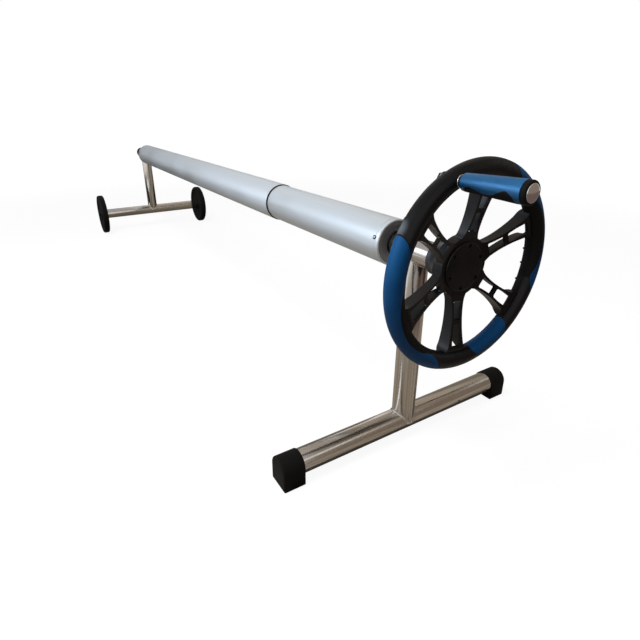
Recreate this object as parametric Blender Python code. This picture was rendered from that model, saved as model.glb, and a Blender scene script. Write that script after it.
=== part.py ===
"""Telescopic pool cover reel: two tube stands, a two-part roller and a spoked hand wheel.

X runs along the roller towards the hand wheel, Y along the foot bars and Z up, in metres.
The origin is on the floor under the middle of the whole reel.
"""

import math

import bmesh
import bpy
from mathutils import Matrix

# Gaps between pieces
SEAT = 0.0003  # between pieces that touch or are fixed to each other
RUNNING = 0.0003  # on the radius, between pieces that turn or slide
PAST = 0.005  # how far a cutter runs past the piece that it cuts

# Stands, of one stainless tube size
TUBE_OD = 0.043
TUBE_WALL = 0.0015
AXIS_HEIGHT = 0.370
STAND_SPACING = 1.960
NEAR_BAR_HEIGHT = 0.033
NEAR_BAR_LENGTH = 0.524
FAR_BAR_LENGTH = 0.457
HEAD_TUBE_LENGTH = 0.091
HEAD_TUBE_SHIFT = -0.0015  # of the near head tube, away from the hand wheel
BAR_HOLE_RADIUS = 0.0022
BAR_HOLE_Y = 0.133

# Rubber feet
FOOT_WIDTH = 0.047
FOOT_LENGTH = 0.0405
FOOT_END_WALL = 0.010
FOOT_EDGE = 0.003

# Transport wheels and their axles
WHEEL_RADIUS = 0.0915
WHEEL_WIDTH = 0.026
WHEEL_SHOULDER = 0.006
WHEEL_LIP = 0.016
WHEEL_DISH = 0.005
WHEEL_HUB_RADIUS = 0.024
WHEEL_PLAY = 0.0005
PLUG_LENGTH = 0.030
PLUG_FLANGE = 0.0025
AXLE_RADIUS = 0.005
AXLE_HEAD_ACROSS = 0.017
AXLE_HEAD_HEIGHT = 0.0064
AXLE_REACH = 0.026  # of the axle bolt into its plug

# Roller tubes
ROLLER_END = 0.053  # from each upright's axis to the roller's end
NEAR_TUBE_OD = 0.084
NEAR_TUBE_WALL = 0.0015
NEAR_TUBE_LENGTH = 1.400
NEAR_TUBE_SHOWN = 0.430  # the stretch that stands out of the far tube
FAR_TUBE_OD = 0.0884
FAR_TUBE_WALL = 0.0012
SLIDE_BUSH_DEPTH = 0.025
SLIDE_BUSH_LIP = 0.003
SLIDE_BUSH_STEP = 0.0006  # of the lip, over the sleeve inside the tube
GUIDE_SLEEVE = 0.020
GUIDE_FLANGE = 0.004
GUIDE_WALL = 0.004

# Roller end caps
CAP_RECESS = 0.0015
CAP_FACE = 0.005
CAP_DEPTH = 0.040
CAP_WALL = 0.0035
CAP_HUB_RADIUS = 0.020
CAP_RIB = 0.003
CAP_RIB_ROOT = 0.0015  # how far a rib runs into the walls it joins
CAP_RIBS = 4
CAP_SCREW_INSET = 0.010
CAP_SCREW_ANGLE = 161.0  # degrees round the roller, from +Y towards +Z
CAP_SCREW_RADIUS = 0.0018
CAP_SCREW_LENGTH = 0.0075
CAP_SCREW_HEAD_RADIUS = 0.0032
CAP_SCREW_HEAD = 0.002
CAP_SCREW_RIM = 0.0012  # height of the head below its rounded top
CAP_SCREW_TOP_RADIUS = 0.0016
CAP_SCREW_HOLE = 0.015

# Shafts and their bushes
SHAFT_RADIUS = 0.0125
SHAFT_FLAT = 0.002  # depth of the flat that drives the hub boss
PIN_RADIUS = 0.003
PIN_LENGTH = 0.0385
PIN_INSET = 0.022  # from the cap's face
BUSH_SLEEVE = 0.018
BUSH_FLANGE = 0.002
BUSH_FLANGE_RADIUS = 0.0235
FAR_CAP_LENGTH = 0.041
FAR_CAP_WALL = 0.003
FAR_CAP_EDGE = 0.003

# Hand wheel
RIM_RADIUS = 0.160
RIM_SECTION = 0.0285
RIM_PLANE = 0.1135  # in front of the near upright's axis
RIM_CORE_RADIUS = 0.0065
RIM_STEPS = 36
RIM_SIDES = 12
CORE_STEPS = 18
CORE_SIDES = 4
SLEEVE_SIDES = 8
PAD_SIDES = 6
SPOKES = 6
SPOKE_ANGLE = 21.6  # degrees of the first spoke, from +Y towards +Z
SPOKE_BAR = 0.006
ROOT_RADIUS = 0.043
ROOT_HALF_WIDTH = 0.015
WAIST_RADIUS = 0.077
WAIST_HALF_WIDTH = 0.0098
TIP_RADIUS = 0.128
TIP_HALF_WIDTH = 0.018
WIDEST_RADIUS = 0.138  # where a spoke stops widening, inside the rim
ROOT_FRONT = -0.0125  # of the spoke's front, from the rim's plane
TIP_FRONT = 0.005
ROOT_DEPTH = 0.018
TIP_DEPTH = 0.024
INNER_WINDOW = (0.050, 0.080)
OUTER_WINDOW = (0.086, 0.121)
WINDOW_CORNER = 0.004
CROSSBAR_DEPTH = 0.009
SPOKE_END_RADIUS = 0.143
SPOKE_END_HALF_DEPTH = 0.004

# Coloured pieces of the rim
INLAY_DEPTH = 0.0022
SLEEVE_ANGLES = (153.4, 250.5)  # of the blue sleeve on the -Y side
# Half its spread round the section, in degrees, at even steps along it. It is narrow
# at the thumb rest in the middle.
SLEEVE_SPREAD = (75.0, 112.0, 138.0, 115.0, 92.0, 79.0, 76.0, 80.0, 94.0, 116.0, 108.0, 75.0)
PAD_ANGLES = ((-83.0, -49.0), (97.0, 131.0))
PAD_SPREAD = (70.0, 90.0, 90.0, 88.0, 55.0)  # to both sides of the innermost line
MIRROR_ANGLE = 111.4  # the rim's colours are alike on both sides of this line

# Hub of the hand wheel
BOSS_START = 0.0476  # from the near upright's axis
BOSS_NECK_RADIUS = 0.0275
BOSS_NECK_LENGTH = 0.0047
BOSS_FLARE_RADIUS = 0.0407
BOSS_FLANGE_RADIUS = 0.043
BOSS_FLANGE = 0.004
HUB_POCKET_RADIUS = 0.020
HUB_POCKET = 0.010
HUB_COVER_RADIUS = 0.0385
HUB_COVER_FRONT = -0.007  # from the rim's plane
HUB_COVER_EDGE = 0.0012
HUB_SCREW_CIRCLE = 0.033
HUB_SCREW_RADIUS = 0.002
HUB_SCREW_HEAD_RADIUS = 0.003
HUB_SCREW_HEAD = 0.003
HUB_SCREW_SUNK = 0.001
BOLT_HEAD_ACROSS = 0.017
BOLT_HEAD_HEIGHT = 0.0060
BOLT_RADIUS = 0.005
BOLT_REACH = 0.025
BOLT_WASHER_RADIUS = 0.017
BOLT_WASHER = 0.002

# Grip on the rim
GRIP_ANGLE = 113.3
GRIP_LENGTH = 0.102  # from the rim's front to the cap's front
GRIP_BASE_RADIUS = 0.0115
GRIP_END_RADIUS = 0.01475
GRIP_CAP_RADIUS = 0.015
GRIP_CAP_LENGTH = 0.0095
GRIP_CAP_PLUG = 0.004
GRIP_CAP_EDGE = 0.001
GRIP_ROUNDING = 0.002
GRIP_BORE_DEPTH = 0.012
GRIP_BORE_RADIUS = 0.0083
SPINDLE_RADIUS = 0.004
SPINDLE_HEAD_RADIUS = 0.0065
SPINDLE_HEAD = 0.005
THREAD_RADIUS = 0.003
GRIP_WASHER_RADIUS = 0.0085
GRIP_WASHER = 0.0015
NUT_ACROSS = 0.010
NUT_HEIGHT = 0.005
INSERT_DEPTH = 0.0018
INSERT_SLACK = 0.0005  # beside its wavy edge
INSERT_START = 0.06  # shares of the sleeve's length
INSERT_END = 0.88
INSERT_HALF_ANGLES = (60.0, 78.0, 52.0, 54.0, 80.0, 90.0, 84.0, 40.0)
MEDALLION_RADIUS = 0.0112
MEDALLION_DEPTH = 0.0015
MEDALLION_DOME = 0.0015

ROLLER_STEPS = 24
WHEEL_STEPS = 24
TUBE_STEPS = 20
GRIP_STEPS = 16
SMALL_STEPS = 12
SCREW_STEPS = 6
PIN_STEPS = 10

STEEL = ("stainless steel", (0.62, 0.60, 0.57), 0.18, 1.0)
ALUMINIUM = ("anodised aluminium", (0.66, 0.68, 0.69), 0.42, 0.9)
CHROME = ("chrome", (0.80, 0.80, 0.80), 0.08, 1.0)
BLACK_RUBBER = ("black rubber", (0.018, 0.017, 0.017), 0.75, 0.0)
BLACK_PLASTIC = ("black plastic", (0.020, 0.020, 0.024), 0.40, 0.0)
BLACK_GRAIN = ("black grained cover", (0.022, 0.022, 0.023), 0.55, 0.0)
GREY_PLASTIC = ("grey plastic", (0.065, 0.065, 0.062), 0.55, 0.0)
BLUE = ("metallic blue", (0.015, 0.130, 0.330), 0.35, 0.4)


def material(finish):
    name, colour, roughness, metallic = finish
    made = bpy.data.materials.get(name)
    if made is None:
        made = bpy.data.materials.new(name)
        made.use_nodes = True
        shader = made.node_tree.nodes["Principled BSDF"]
        shader.inputs["Base Color"].default_value = (*colour, 1.0)
        shader.inputs["Roughness"].default_value = roughness
        shader.inputs["Metallic"].default_value = metallic
    return made


def empty(name, parent=None, place=(0.0, 0.0, 0.0)):
    made = bpy.data.objects.new(name, None)
    made.parent = parent
    made.location = place
    bpy.context.scene.collection.objects.link(made)
    return made


def add(name, bm, finish, parent, place=(0.0, 0.0, 0.0), turn=(0.0, 0.0, 0.0)):
    """One object of the part, from a closed bmesh."""
    bmesh.ops.recalc_face_normals(bm, faces=bm.faces)
    mesh = bpy.data.meshes.new(name)
    bm.to_mesh(mesh)
    bm.free()
    mesh.shade_smooth()
    mesh.set_sharp_from_angle(angle=math.radians(35))
    mesh.materials.append(material(finish))
    made = bpy.data.objects.new(name, mesh)
    made.parent = parent
    made.location = place
    made.rotation_euler = turn
    bpy.context.scene.collection.objects.link(made)
    return made


def cutter(name, bm, parent, place=(0.0, 0.0, 0.0), turn=(0.0, 0.0, 0.0)):
    made = add(name, bm, GREY_PLASTIC, parent, place, turn)
    made.hide_render = True
    made.display_type = "WIRE"
    return made


def cut(target, tool, operation="DIFFERENCE"):
    modifier = target.modifiers.new(f"{operation.lower()} {tool.name}", "BOOLEAN")
    modifier.operation = operation
    modifier.object = tool
    return target


def on_axis(x, radius, angle):
    """The point at this angle round the X axis, counted from +Y towards +Z."""
    return (x, radius * math.cos(angle), radius * math.sin(angle))


def turned(profile, steps):
    """A solid turned about X from the (x, radius) points of a closed outline."""
    bm = bmesh.new()
    rings = []
    for x, radius in profile:
        if radius == 0.0:
            rings.append([bm.verts.new((x, 0.0, 0.0))] * steps)
        else:
            turns = [2 * math.pi * k / steps for k in range(steps)]
            rings.append([bm.verts.new(on_axis(x, radius, turn)) for turn in turns])
    for a, b in zip(rings, rings[1:] + rings[:1]):
        for k in range(steps):
            corners = [a[k], a[(k + 1) % steps], b[(k + 1) % steps], b[k]]
            distinct = list(dict.fromkeys(corners))
            if len(distinct) > 2:
                bm.faces.new(distinct)
    return bm


def tube(start, end, outer, inner, steps):
    return turned([(start, inner), (start, outer), (end, outer), (end, inner)], steps)


def rod(start, end, radius, steps=SMALL_STEPS):
    return turned([(start, 0.0), (start, radius), (end, radius), (end, 0.0)], steps)


def prism(outline, start, end):
    """The (y, z) outline extruded along X from start to end."""
    bm = bmesh.new()
    face = bm.faces.new([bm.verts.new((start, y, z)) for y, z in outline])
    moved = bmesh.ops.extrude_face_region(bm, geom=[face])["geom"]
    verts = [item for item in moved if isinstance(item, bmesh.types.BMVert)]
    bmesh.ops.translate(bm, verts=verts, vec=(end - start, 0.0, 0.0))
    return bm


def round_outline(radius, steps, start=0.0, sweep=360.0):
    count = steps if sweep == 360.0 else steps + 1
    angles = [math.radians(start + sweep * k / steps) for k in range(count)]
    return [(radius * math.cos(a), radius * math.sin(a)) for a in angles]


def hexagon(across):
    return round_outline(across / math.sqrt(3.0), 6, 30.0)


def d_outline(radius, flat, steps=TUBE_STEPS):
    """A circle with a flat at the top, this deep."""
    half = math.degrees(math.acos((radius - flat) / radius))
    return round_outline(radius, steps, 90.0 + half, 360.0 - 2 * half)


ALONG_Y = (0.0, 0.0, math.pi / 2)  # turns a shape made along X so that it lies along Y
UPRIGHT = (0.0, -math.pi / 2, 0.0)  # and so that it stands along Z
TURNED_BACK = (0.0, 0.0, math.pi)

TUBE_RADIUS = TUBE_OD / 2
TUBE_BORE = TUBE_RADIUS - TUBE_WALL


def foot_bar(name, stand, height, length):
    half = length / 2
    bar = tube(-half, half, TUBE_RADIUS, TUBE_BORE, TUBE_STEPS)
    return add(name, bar, STEEL, stand, (0.0, 0.0, height), ALONG_Y)


def upright(name, stand, bar_height):
    """The tube between foot bar and head tube, coped to both."""
    post = add(
        name,
        tube(bar_height, AXIS_HEIGHT, TUBE_RADIUS, TUBE_BORE, TUBE_STEPS),
        STEEL,
        stand,
        turn=UPRIGHT,
    )
    cope = TUBE_RADIUS + SEAT
    reach = TUBE_OD
    top = cutter(
        f"{name} top cope",
        rod(-reach, reach, cope, TUBE_STEPS),
        stand,
        (0.0, 0.0, AXIS_HEIGHT),
    )
    bottom = cutter(
        f"{name} bottom cope",
        rod(-reach, reach, cope, TUBE_STEPS),
        stand,
        (0.0, 0.0, bar_height),
        ALONG_Y,
    )
    cut(post, top)
    return cut(post, bottom)


def head_bush(name, stand, end, towards):
    """A flanged bush in one end of a head tube. towards is +1 where it faces +X."""
    bore = SHAFT_RADIUS + RUNNING
    profile = [
        (-BUSH_SLEEVE, bore),
        (-BUSH_SLEEVE, TUBE_BORE - SEAT),
        (SEAT, TUBE_BORE - SEAT),
        (SEAT, BUSH_FLANGE_RADIUS),
        (SEAT + BUSH_FLANGE, BUSH_FLANGE_RADIUS),
        (SEAT + BUSH_FLANGE, bore),
    ]
    turn = (0.0, 0.0, 0.0) if towards > 0 else TURNED_BACK
    place = (end, 0.0, AXIS_HEIGHT)
    return add(name, turned(profile, TUBE_STEPS), BLACK_PLASTIC, stand, place, turn)


def head(prefix, stand, shift):
    """The horizontal tube that holds the shaft, with its two bushes."""
    half = HEAD_TUBE_LENGTH / 2
    barrel = tube(shift - half, shift + half, TUBE_RADIUS, TUBE_BORE, TUBE_STEPS)
    add(f"{prefix}_head_tube", barrel, STEEL, stand, (0.0, 0.0, AXIS_HEIGHT))
    inside, outside = (-1, 1) if prefix == "near" else (1, -1)
    head_bush(f"{prefix}_bush_roller_side", stand, shift + inside * half, inside)
    head_bush(f"{prefix}_bush_outer_side", stand, shift + outside * half, outside)


def rubber_foot(name, stand, side):
    """A D-shaped shoe with a flat sole, pushed over one end of the foot bar."""
    radius = FOOT_WIDTH / 2
    arch = round_outline(radius, SMALL_STEPS, 0.0, 180.0)
    outline = [(y, z + NEAR_BAR_HEIGHT) for y, z in arch]
    outline += [(-radius, 0.0), (radius, 0.0)]
    outer = NEAR_BAR_LENGTH / 2 + SEAT + FOOT_END_WALL
    shoe = prism(outline, outer - FOOT_LENGTH, outer)
    rim = [
        edge
        for edge in shoe.edges
        if all(abs(v.co.x - outer) < 1e-6 and v.co.z > FOOT_EDGE for v in edge.verts)
    ]
    bmesh.ops.bevel(
        shoe,
        geom=rim,
        offset=FOOT_EDGE,
        offset_type="OFFSET",
        segments=2,
        profile=0.5,
        affect="EDGES",
        clamp_overlap=True,
    )
    turn = (0.0, 0.0, side * math.pi / 2)
    foot = add(name, shoe, BLACK_RUBBER, stand, turn=turn)
    socket = cutter(
        f"{name} socket",
        rod(0.0, outer - FOOT_END_WALL, TUBE_RADIUS + SEAT, TUBE_STEPS),
        stand,
        (0.0, 0.0, NEAR_BAR_HEIGHT),
        turn,
    )
    return cut(foot, socket)


def axle_parts(stand, side, name):
    """Plug, axle bolt and wheel at one end of the far foot bar."""
    turn = (0.0, 0.0, side * math.pi / 2)
    axle = (0.0, 0.0, WHEEL_RADIUS)
    bore = AXLE_RADIUS + RUNNING
    tube_end = FAR_BAR_LENGTH / 2
    flange = tube_end + SEAT + PLUG_FLANGE
    plug = [
        (tube_end - PLUG_LENGTH, bore),
        (tube_end - PLUG_LENGTH, TUBE_BORE - SEAT),
        (tube_end + SEAT, TUBE_BORE - SEAT),
        (tube_end + SEAT, TUBE_RADIUS),
        (flange, TUBE_RADIUS),
        (flange, bore),
    ]
    add(f"axle_plug_{name}", turned(plug, TUBE_STEPS), BLACK_PLASTIC, stand, axle, turn)

    inner = flange + WHEEL_PLAY
    outer = inner + WHEEL_WIDTH
    lip = WHEEL_RADIUS - WHEEL_LIP
    shoulder = WHEEL_RADIUS - WHEEL_SHOULDER
    corner = WHEEL_SHOULDER * (1 - math.sqrt(0.5))
    wheel = [
        (inner, bore),
        (inner, WHEEL_HUB_RADIUS),
        (inner + WHEEL_DISH, WHEEL_HUB_RADIUS + WHEEL_DISH),
        (inner + WHEEL_DISH, lip - WHEEL_DISH),
        (inner, lip),
        (inner, shoulder),
        (inner + corner, WHEEL_RADIUS - corner),
        (inner + WHEEL_SHOULDER, WHEEL_RADIUS),
        (outer - WHEEL_SHOULDER, WHEEL_RADIUS),
        (outer - corner, WHEEL_RADIUS - corner),
        (outer, shoulder),
        (outer, lip),
        (outer - WHEEL_DISH, lip - WHEEL_DISH),
        (outer - WHEEL_DISH, WHEEL_HUB_RADIUS + WHEEL_DISH),
        (outer, WHEEL_HUB_RADIUS),
        (outer, bore),
    ]
    hub = empty(f"{name} axle", stand, axle)
    bm = turned(wheel, WHEEL_STEPS)
    add(f"transport_wheel_{name}", bm, BLACK_RUBBER, hub, turn=turn)

    head_start = outer + WHEEL_PLAY
    bolt = add(
        f"axle_bolt_{name}",
        prism(hexagon(AXLE_HEAD_ACROSS), head_start, head_start + AXLE_HEAD_HEIGHT),
        STEEL,
        stand,
        axle,
        turn,
    )
    shank = rod(tube_end - AXLE_REACH, head_start + AXLE_HEAD_HEIGHT / 2, AXLE_RADIUS)
    shank = cutter(f"axle shank {name}", shank, stand, axle, turn)
    return cut(bolt, shank, "UNION")


def cap_screws(prefix, tube_radius, axis, screw_x, pieces):
    """Two screws through the roller tube into its end cap, with their holes."""
    head_start = tube_radius + SEAT
    profile = [
        (head_start - CAP_SCREW_LENGTH, 0.0),
        (head_start - CAP_SCREW_LENGTH, CAP_SCREW_RADIUS),
        (head_start, CAP_SCREW_RADIUS),
        (head_start, CAP_SCREW_HEAD_RADIUS),
        (head_start + CAP_SCREW_RIM, CAP_SCREW_HEAD_RADIUS),
        (head_start + CAP_SCREW_HEAD, CAP_SCREW_TOP_RADIUS),
        (head_start + CAP_SCREW_HEAD, 0.0),
    ]
    for letter, half_turn in (("a", 0.0), ("b", 180.0)):
        angle = math.radians(CAP_SCREW_ANGLE + half_turn)
        # The screw is made along X and turned to point out of the roller.
        matrix = Matrix.Rotation(angle, 4, "X") @ Matrix.Rotation(math.pi / 2, 4, "Z")
        turn = matrix.to_euler()
        name = f"{prefix}_cap_screw_{letter}"
        add(name, turned(profile, SCREW_STEPS), STEEL, axis, (screw_x, 0.0, 0.0), turn)
        hole_end = tube_radius - CAP_SCREW_HOLE
        hole = rod(hole_end, tube_radius + PAST, CAP_SCREW_RADIUS + SEAT, SCREW_STEPS)
        hole = cutter(f"{name} hole", hole, axis, (screw_x, 0.0, 0.0), turn)
        for piece in pieces:
            cut(piece, hole)


def end_cap(prefix, axis, face, towards, bore):
    """The plug in a roller tube's end. Its face looks towards +X or -X."""
    rim = bore - SEAT
    shaft = SHAFT_RADIUS + SEAT
    profile = [
        (0.0, shaft),
        (0.0, rim),
        (-CAP_DEPTH, rim),
        (-CAP_DEPTH, rim - CAP_WALL),
        (-CAP_FACE, rim - CAP_WALL),
        (-CAP_FACE, CAP_HUB_RADIUS),
        (-CAP_DEPTH, CAP_HUB_RADIUS),
        (-CAP_DEPTH, shaft),
    ]
    turn = (0.0, 0.0, 0.0) if towards > 0 else TURNED_BACK
    place = (face, 0.0, 0.0)
    cap = add(
        f"{prefix}_end_cap",
        turned(profile, ROLLER_STEPS),
        GREY_PLASTIC,
        axis,
        place,
        turn,
    )
    inner = CAP_HUB_RADIUS - CAP_RIB_ROOT
    outer = rim - CAP_WALL + CAP_RIB_ROOT
    half = CAP_RIB / 2
    for k in range(CAP_RIBS):
        rib = prism(
            [(inner, -half), (outer, -half), (outer, half), (inner, half)],
            -CAP_DEPTH + CAP_RIB,
            -CAP_FACE + CAP_RIB_ROOT,
        )
        lean = Matrix.Rotation(2 * math.pi * (k + 0.5) / CAP_RIBS, 4, "X")
        bmesh.ops.transform(rib, matrix=lean, verts=rib.verts)
        cut(cap, cutter(f"{prefix} cap rib {k + 1}", rib, axis, place, turn), "UNION")
    return cap


def shaft_pin(prefix, axis, x, pieces):
    """The cross pin that ties a shaft to its end cap, with its hole in both."""
    pin = rod(-PIN_LENGTH / 2, PIN_LENGTH / 2, PIN_RADIUS, PIN_STEPS)
    add(f"{prefix}_shaft_pin", pin, STEEL, axis, (x, 0.0, 0.0), UPRIGHT)
    reach = CAP_HUB_RADIUS + PAST / 2
    hole = rod(-reach, reach, PIN_RADIUS + SEAT, PIN_STEPS)
    hole = cutter(f"{prefix} pin hole", hole, axis, (x, 0.0, 0.0), UPRIGHT)
    for piece in pieces:
        cut(piece, hole)


# Hand wheel, in coordinates from the wheel's centre: X from the rim's plane
RIM_HALF = RIM_SECTION / 2
RIM_CENTRE = RIM_RADIUS - RIM_HALF
ROOT_BACK = ROOT_FRONT - ROOT_DEPTH


def rim_point(around, across, section):
    """A point of the rim: angle round the wheel, angle round the section, its radius.

    The section's angle is 0 at the outermost line, 90 in front and 180 innermost.
    """
    a = math.radians(around)
    s = math.radians(across)
    return on_axis(section * math.sin(s), RIM_CENTRE + section * math.cos(s), a)


def torus(section, steps, sides):
    bm = bmesh.new()
    rings = []
    for j in range(steps):
        around = 360 * j / steps
        points = [rim_point(around, 360 * k / sides, section) for k in range(sides)]
        rings.append([bm.verts.new(point) for point in points])
    for a, b in zip(rings, rings[1:] + rings[:1]):
        for k in range(sides):
            m = (k + 1) % sides
            bm.faces.new((a[k], a[m], b[m], b[k]))
    return bm


def shell(layers):
    """A closed body through grids of points, from the outer skin to the inner one."""
    bm = bmesh.new()
    grids = [[[bm.verts.new(point) for point in row] for row in layer] for layer in layers]
    last = len(layers[0]) - 1
    width = len(layers[0][0])
    for i in range(last):
        for k in range(width - 1):
            for skin in (grids[0], grids[-1]):
                a, b = skin[i][k], skin[i][k + 1]
                c, d = skin[i + 1][k + 1], skin[i + 1][k]
                bm.faces.new((a, b, c))
                bm.faces.new((a, c, d))
    for outer, inner in zip(grids, grids[1:]):
        for i in (0, last):
            for k in range(width - 1):
                edge = (outer[i][k], outer[i][k + 1], inner[i][k + 1], inner[i][k])
                bm.faces.new(edge)
        for i in range(last):
            for k in (0, width - 1):
                bm.faces.new((outer[i][k], outer[i + 1][k], inner[i + 1][k]))
                bm.faces.new((outer[i][k], inner[i + 1][k], inner[i][k]))
    return bm


def rim_patch(start, end, spread, middle, sections, sides, grow=0.0):
    """A patch of the rim's skin from angle start to end, through the section radii.

    spread gives, at even steps along, how far it reaches to both sides of the line at
    the section angle middle. grow adds a strip of that width in metres all round, so
    that the facets inside it match those of the patch that isn't grown.
    """
    steps = len(spread) - 1
    rows = [(start + (end - start) * i / steps, half) for i, half in enumerate(spread)]
    shares = [2 * k / sides - 1 for k in range(sides + 1)]
    if grow:
        along = math.degrees(grow / (RIM_CENTRE - RIM_HALF))
        rows = [(start - along, spread[0]), *rows, (end + along, spread[-1])]
    layers = []
    for section in sections:
        layer = []
        for around, half in rows:
            across = [middle + half * share for share in shares]
            if grow:
                wider = math.degrees(grow / RIM_HALF)
                across = [across[0] - wider, *across, across[-1] + wider]
            layer.append([rim_point(around, angle, section) for angle in across])
        layers.append(layer)
    return shell(layers)


def spoke_half_width(radius):
    if radius < WAIST_RADIUS:
        share = (WAIST_RADIUS - radius) / (WAIST_RADIUS - ROOT_RADIUS)
        return WAIST_HALF_WIDTH + (ROOT_HALF_WIDTH - WAIST_HALF_WIDTH) * share**2
    share = (min(radius, WIDEST_RADIUS) - WAIST_RADIUS) / (TIP_RADIUS - WAIST_RADIUS)
    return WAIST_HALF_WIDTH + (TIP_HALF_WIDTH - WAIST_HALF_WIDTH) * share**2


def window_half_width(radius):
    """Half the window between a spoke's two bars, with rounded corners at its ends."""
    half = spoke_half_width(radius) - SPOKE_BAR
    for start, end in (INNER_WINDOW, OUTER_WINDOW):
        if start <= radius <= end:
            inset = WINDOW_CORNER - min(radius - start, end - radius)
            if inset > 0:
                half -= WINDOW_CORNER / 2 * (inset / WINDOW_CORNER) ** 2
    return half


def spoke_faces_at(radius):
    """(front, back) of a spoke at this radius, from the rim's plane."""
    if radius > TIP_RADIUS:
        share = (radius - TIP_RADIUS) / (SPOKE_END_RADIUS - TIP_RADIUS)
        front = TIP_FRONT + (SPOKE_END_HALF_DEPTH - TIP_FRONT) * share
        back = TIP_FRONT - TIP_DEPTH
        return front, back + (-SPOKE_END_HALF_DEPTH - back) * share
    share = (radius - ROOT_RADIUS) / (TIP_RADIUS - ROOT_RADIUS)
    front = ROOT_FRONT + (TIP_FRONT - ROOT_FRONT) * share
    return front, front - ROOT_DEPTH - (TIP_DEPTH - ROOT_DEPTH) * share


def spoke_stations():
    """Radii of the cross sections along a spoke."""
    corner = WINDOW_CORNER / 2
    start, end = INNER_WINDOW
    stations = [ROOT_RADIUS, start, (start + end) / 2, end]
    start, end = OUTER_WINDOW
    stations += [start, start + corner, (start + end) / 2, end - corner, end]
    return stations + [TIP_RADIUS, SPOKE_END_RADIUS]


def spider():
    """The wheel's hub and double spokes, from cells stacked in two layers.

    The first layer runs from the front to the back of the crossbars, the second from
    there to the spoke's back. A window has no cell, and a crossbar none in the second.
    """
    stations = spoke_stations()
    bm = bmesh.new()
    corners = {}

    def corner(spoke, row, column, level):
        radius = stations[row]
        half = spoke_half_width(radius)
        inner = window_half_width(radius)
        side = (-half, -inner, inner, half)[column]
        front, back = spoke_faces_at(radius)
        depth = min(CROSSBAR_DEPTH, (front - back) / 2)
        x = (front, front - depth, back)[level]
        angle = math.radians(SPOKE_ANGLE + 360 * spoke / SPOKES)
        y = radius * math.cos(angle) - side * math.sin(angle)
        z = radius * math.sin(angle) + side * math.cos(angle)
        return (x, y, z)

    def vertex(key):
        if key not in corners:
            if key[0] == "centre":
                place = (spoke_faces_at(ROOT_RADIUS)[0], 0.0, 0.0)
                if key[1] == 1:
                    place = (ROOT_FRONT - CROSSBAR_DEPTH, 0.0, 0.0)
                if key[1] == 2:
                    place = (ROOT_BACK, 0.0, 0.0)
                corners[key] = bm.verts.new(place)
            else:
                corners[key] = bm.verts.new(corner(*key))
        return corners[key]

    def at_level(names, level):
        return [(name[0], level) if name[0] == "centre" else (*name, level) for name in names]

    cells = []
    for spoke in range(SPOKES):
        after = (spoke + 1) % SPOKES
        for column in range(3):
            root = [("centre",), (spoke, 0, column), (spoke, 0, column + 1)]
            cells.append((root, (0, 1)))
        cells.append(([("centre",), (spoke, 0, 3), (after, 0, 0)], (0, 1)))
        for row in range(len(stations) - 1):
            middle = (stations[row] + stations[row + 1]) / 2
            in_window = any(a < middle < b for a, b in (INNER_WINDOW, OUTER_WINDOW))
            crossbar = INNER_WINDOW[1] < middle < OUTER_WINDOW[0]
            for column in range(3):
                if column == 1 and in_window:
                    continue
                layers = (0,) if column == 1 and crossbar else (0, 1)
                quad = [
                    (spoke, row, column),
                    (spoke, row + 1, column),
                    (spoke, row + 1, column + 1),
                    (spoke, row, column + 1),
                ]
                cells.append((quad, layers))

    # A face is kept where exactly one of the two cells beside it exists.
    faces = {}
    for names, layers in cells:
        for layer in layers:
            upper = at_level(names, layer)
            lower = at_level(names, layer + 1)
            sides = [upper, lower]
            for k in range(len(names)):
                m = (k + 1) % len(names)
                sides.append([upper[k], upper[m], lower[m], lower[k]])
            for side in sides:
                faces.setdefault(frozenset(side), []).append(side)
    for found in faces.values():
        if len(found) == 1:
            bm.faces.new([vertex(key) for key in found[0]])
    limit = math.radians(1)
    bmesh.ops.dissolve_limit(bm, angle_limit=limit, verts=bm.verts, edges=bm.edges)
    return bm


def spoke_end(grow):
    """The outer end of a spoke, larger by grow all round, lying along +Y."""
    bm = bmesh.new()
    rings = []
    for radius in (TIP_RADIUS - grow, TIP_RADIUS, SPOKE_END_RADIUS + grow):
        front, back = spoke_faces_at(min(max(radius, TIP_RADIUS), SPOKE_END_RADIUS))
        half = spoke_half_width(radius) + grow
        front += grow
        back -= grow
        corners = [(front, -half), (front, half), (back, half), (back, -half)]
        rings.append([bm.verts.new((x, radius, z)) for x, z in corners])
    for a, b in zip(rings, rings[1:]):
        for k in range(4):
            bm.faces.new((a[k], a[(k + 1) % 4], b[(k + 1) % 4], b[k]))
    bm.faces.new(rings[0])
    bm.faces.new(rings[-1])
    return bm


def rim_inlays(hub):
    """The blue pieces let into the rim, and the recesses they lie in."""
    floor = RIM_HALF - INLAY_DEPTH
    mirrored = [2 * MIRROR_ANGLE - angle for angle in reversed(SLEEVE_ANGLES)]
    inlays = [
        ("rim_sleeve_left", SLEEVE_ANGLES, SLEEVE_SPREAD, 0.0, SLEEVE_SIDES),
        ("rim_sleeve_right", mirrored, SLEEVE_SPREAD[::-1], 0.0, SLEEVE_SIDES),
        ("rim_pad_bottom", PAD_ANGLES[0], PAD_SPREAD, 180.0, PAD_SIDES),
        ("rim_pad_top", PAD_ANGLES[1], PAD_SPREAD, 180.0, PAD_SIDES),
    ]
    pieces = {}
    recesses = []
    for name, angles, spread, middle, sides in inlays:
        skin = rim_patch(*angles, spread, middle, (RIM_HALF, floor), sides)
        pieces[name] = add(name, skin, BLUE, hub)
        levels = (RIM_HALF + PAST, RIM_HALF, floor - SEAT)
        recess = rim_patch(*angles, spread, middle, levels, sides, SEAT)
        recesses.append(cutter(f"{name} recess", recess, hub))
    return recesses, pieces["rim_pad_top"]


def grip_place():
    return on_axis(0.0, RIM_CENTRE, math.radians(GRIP_ANGLE))


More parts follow.
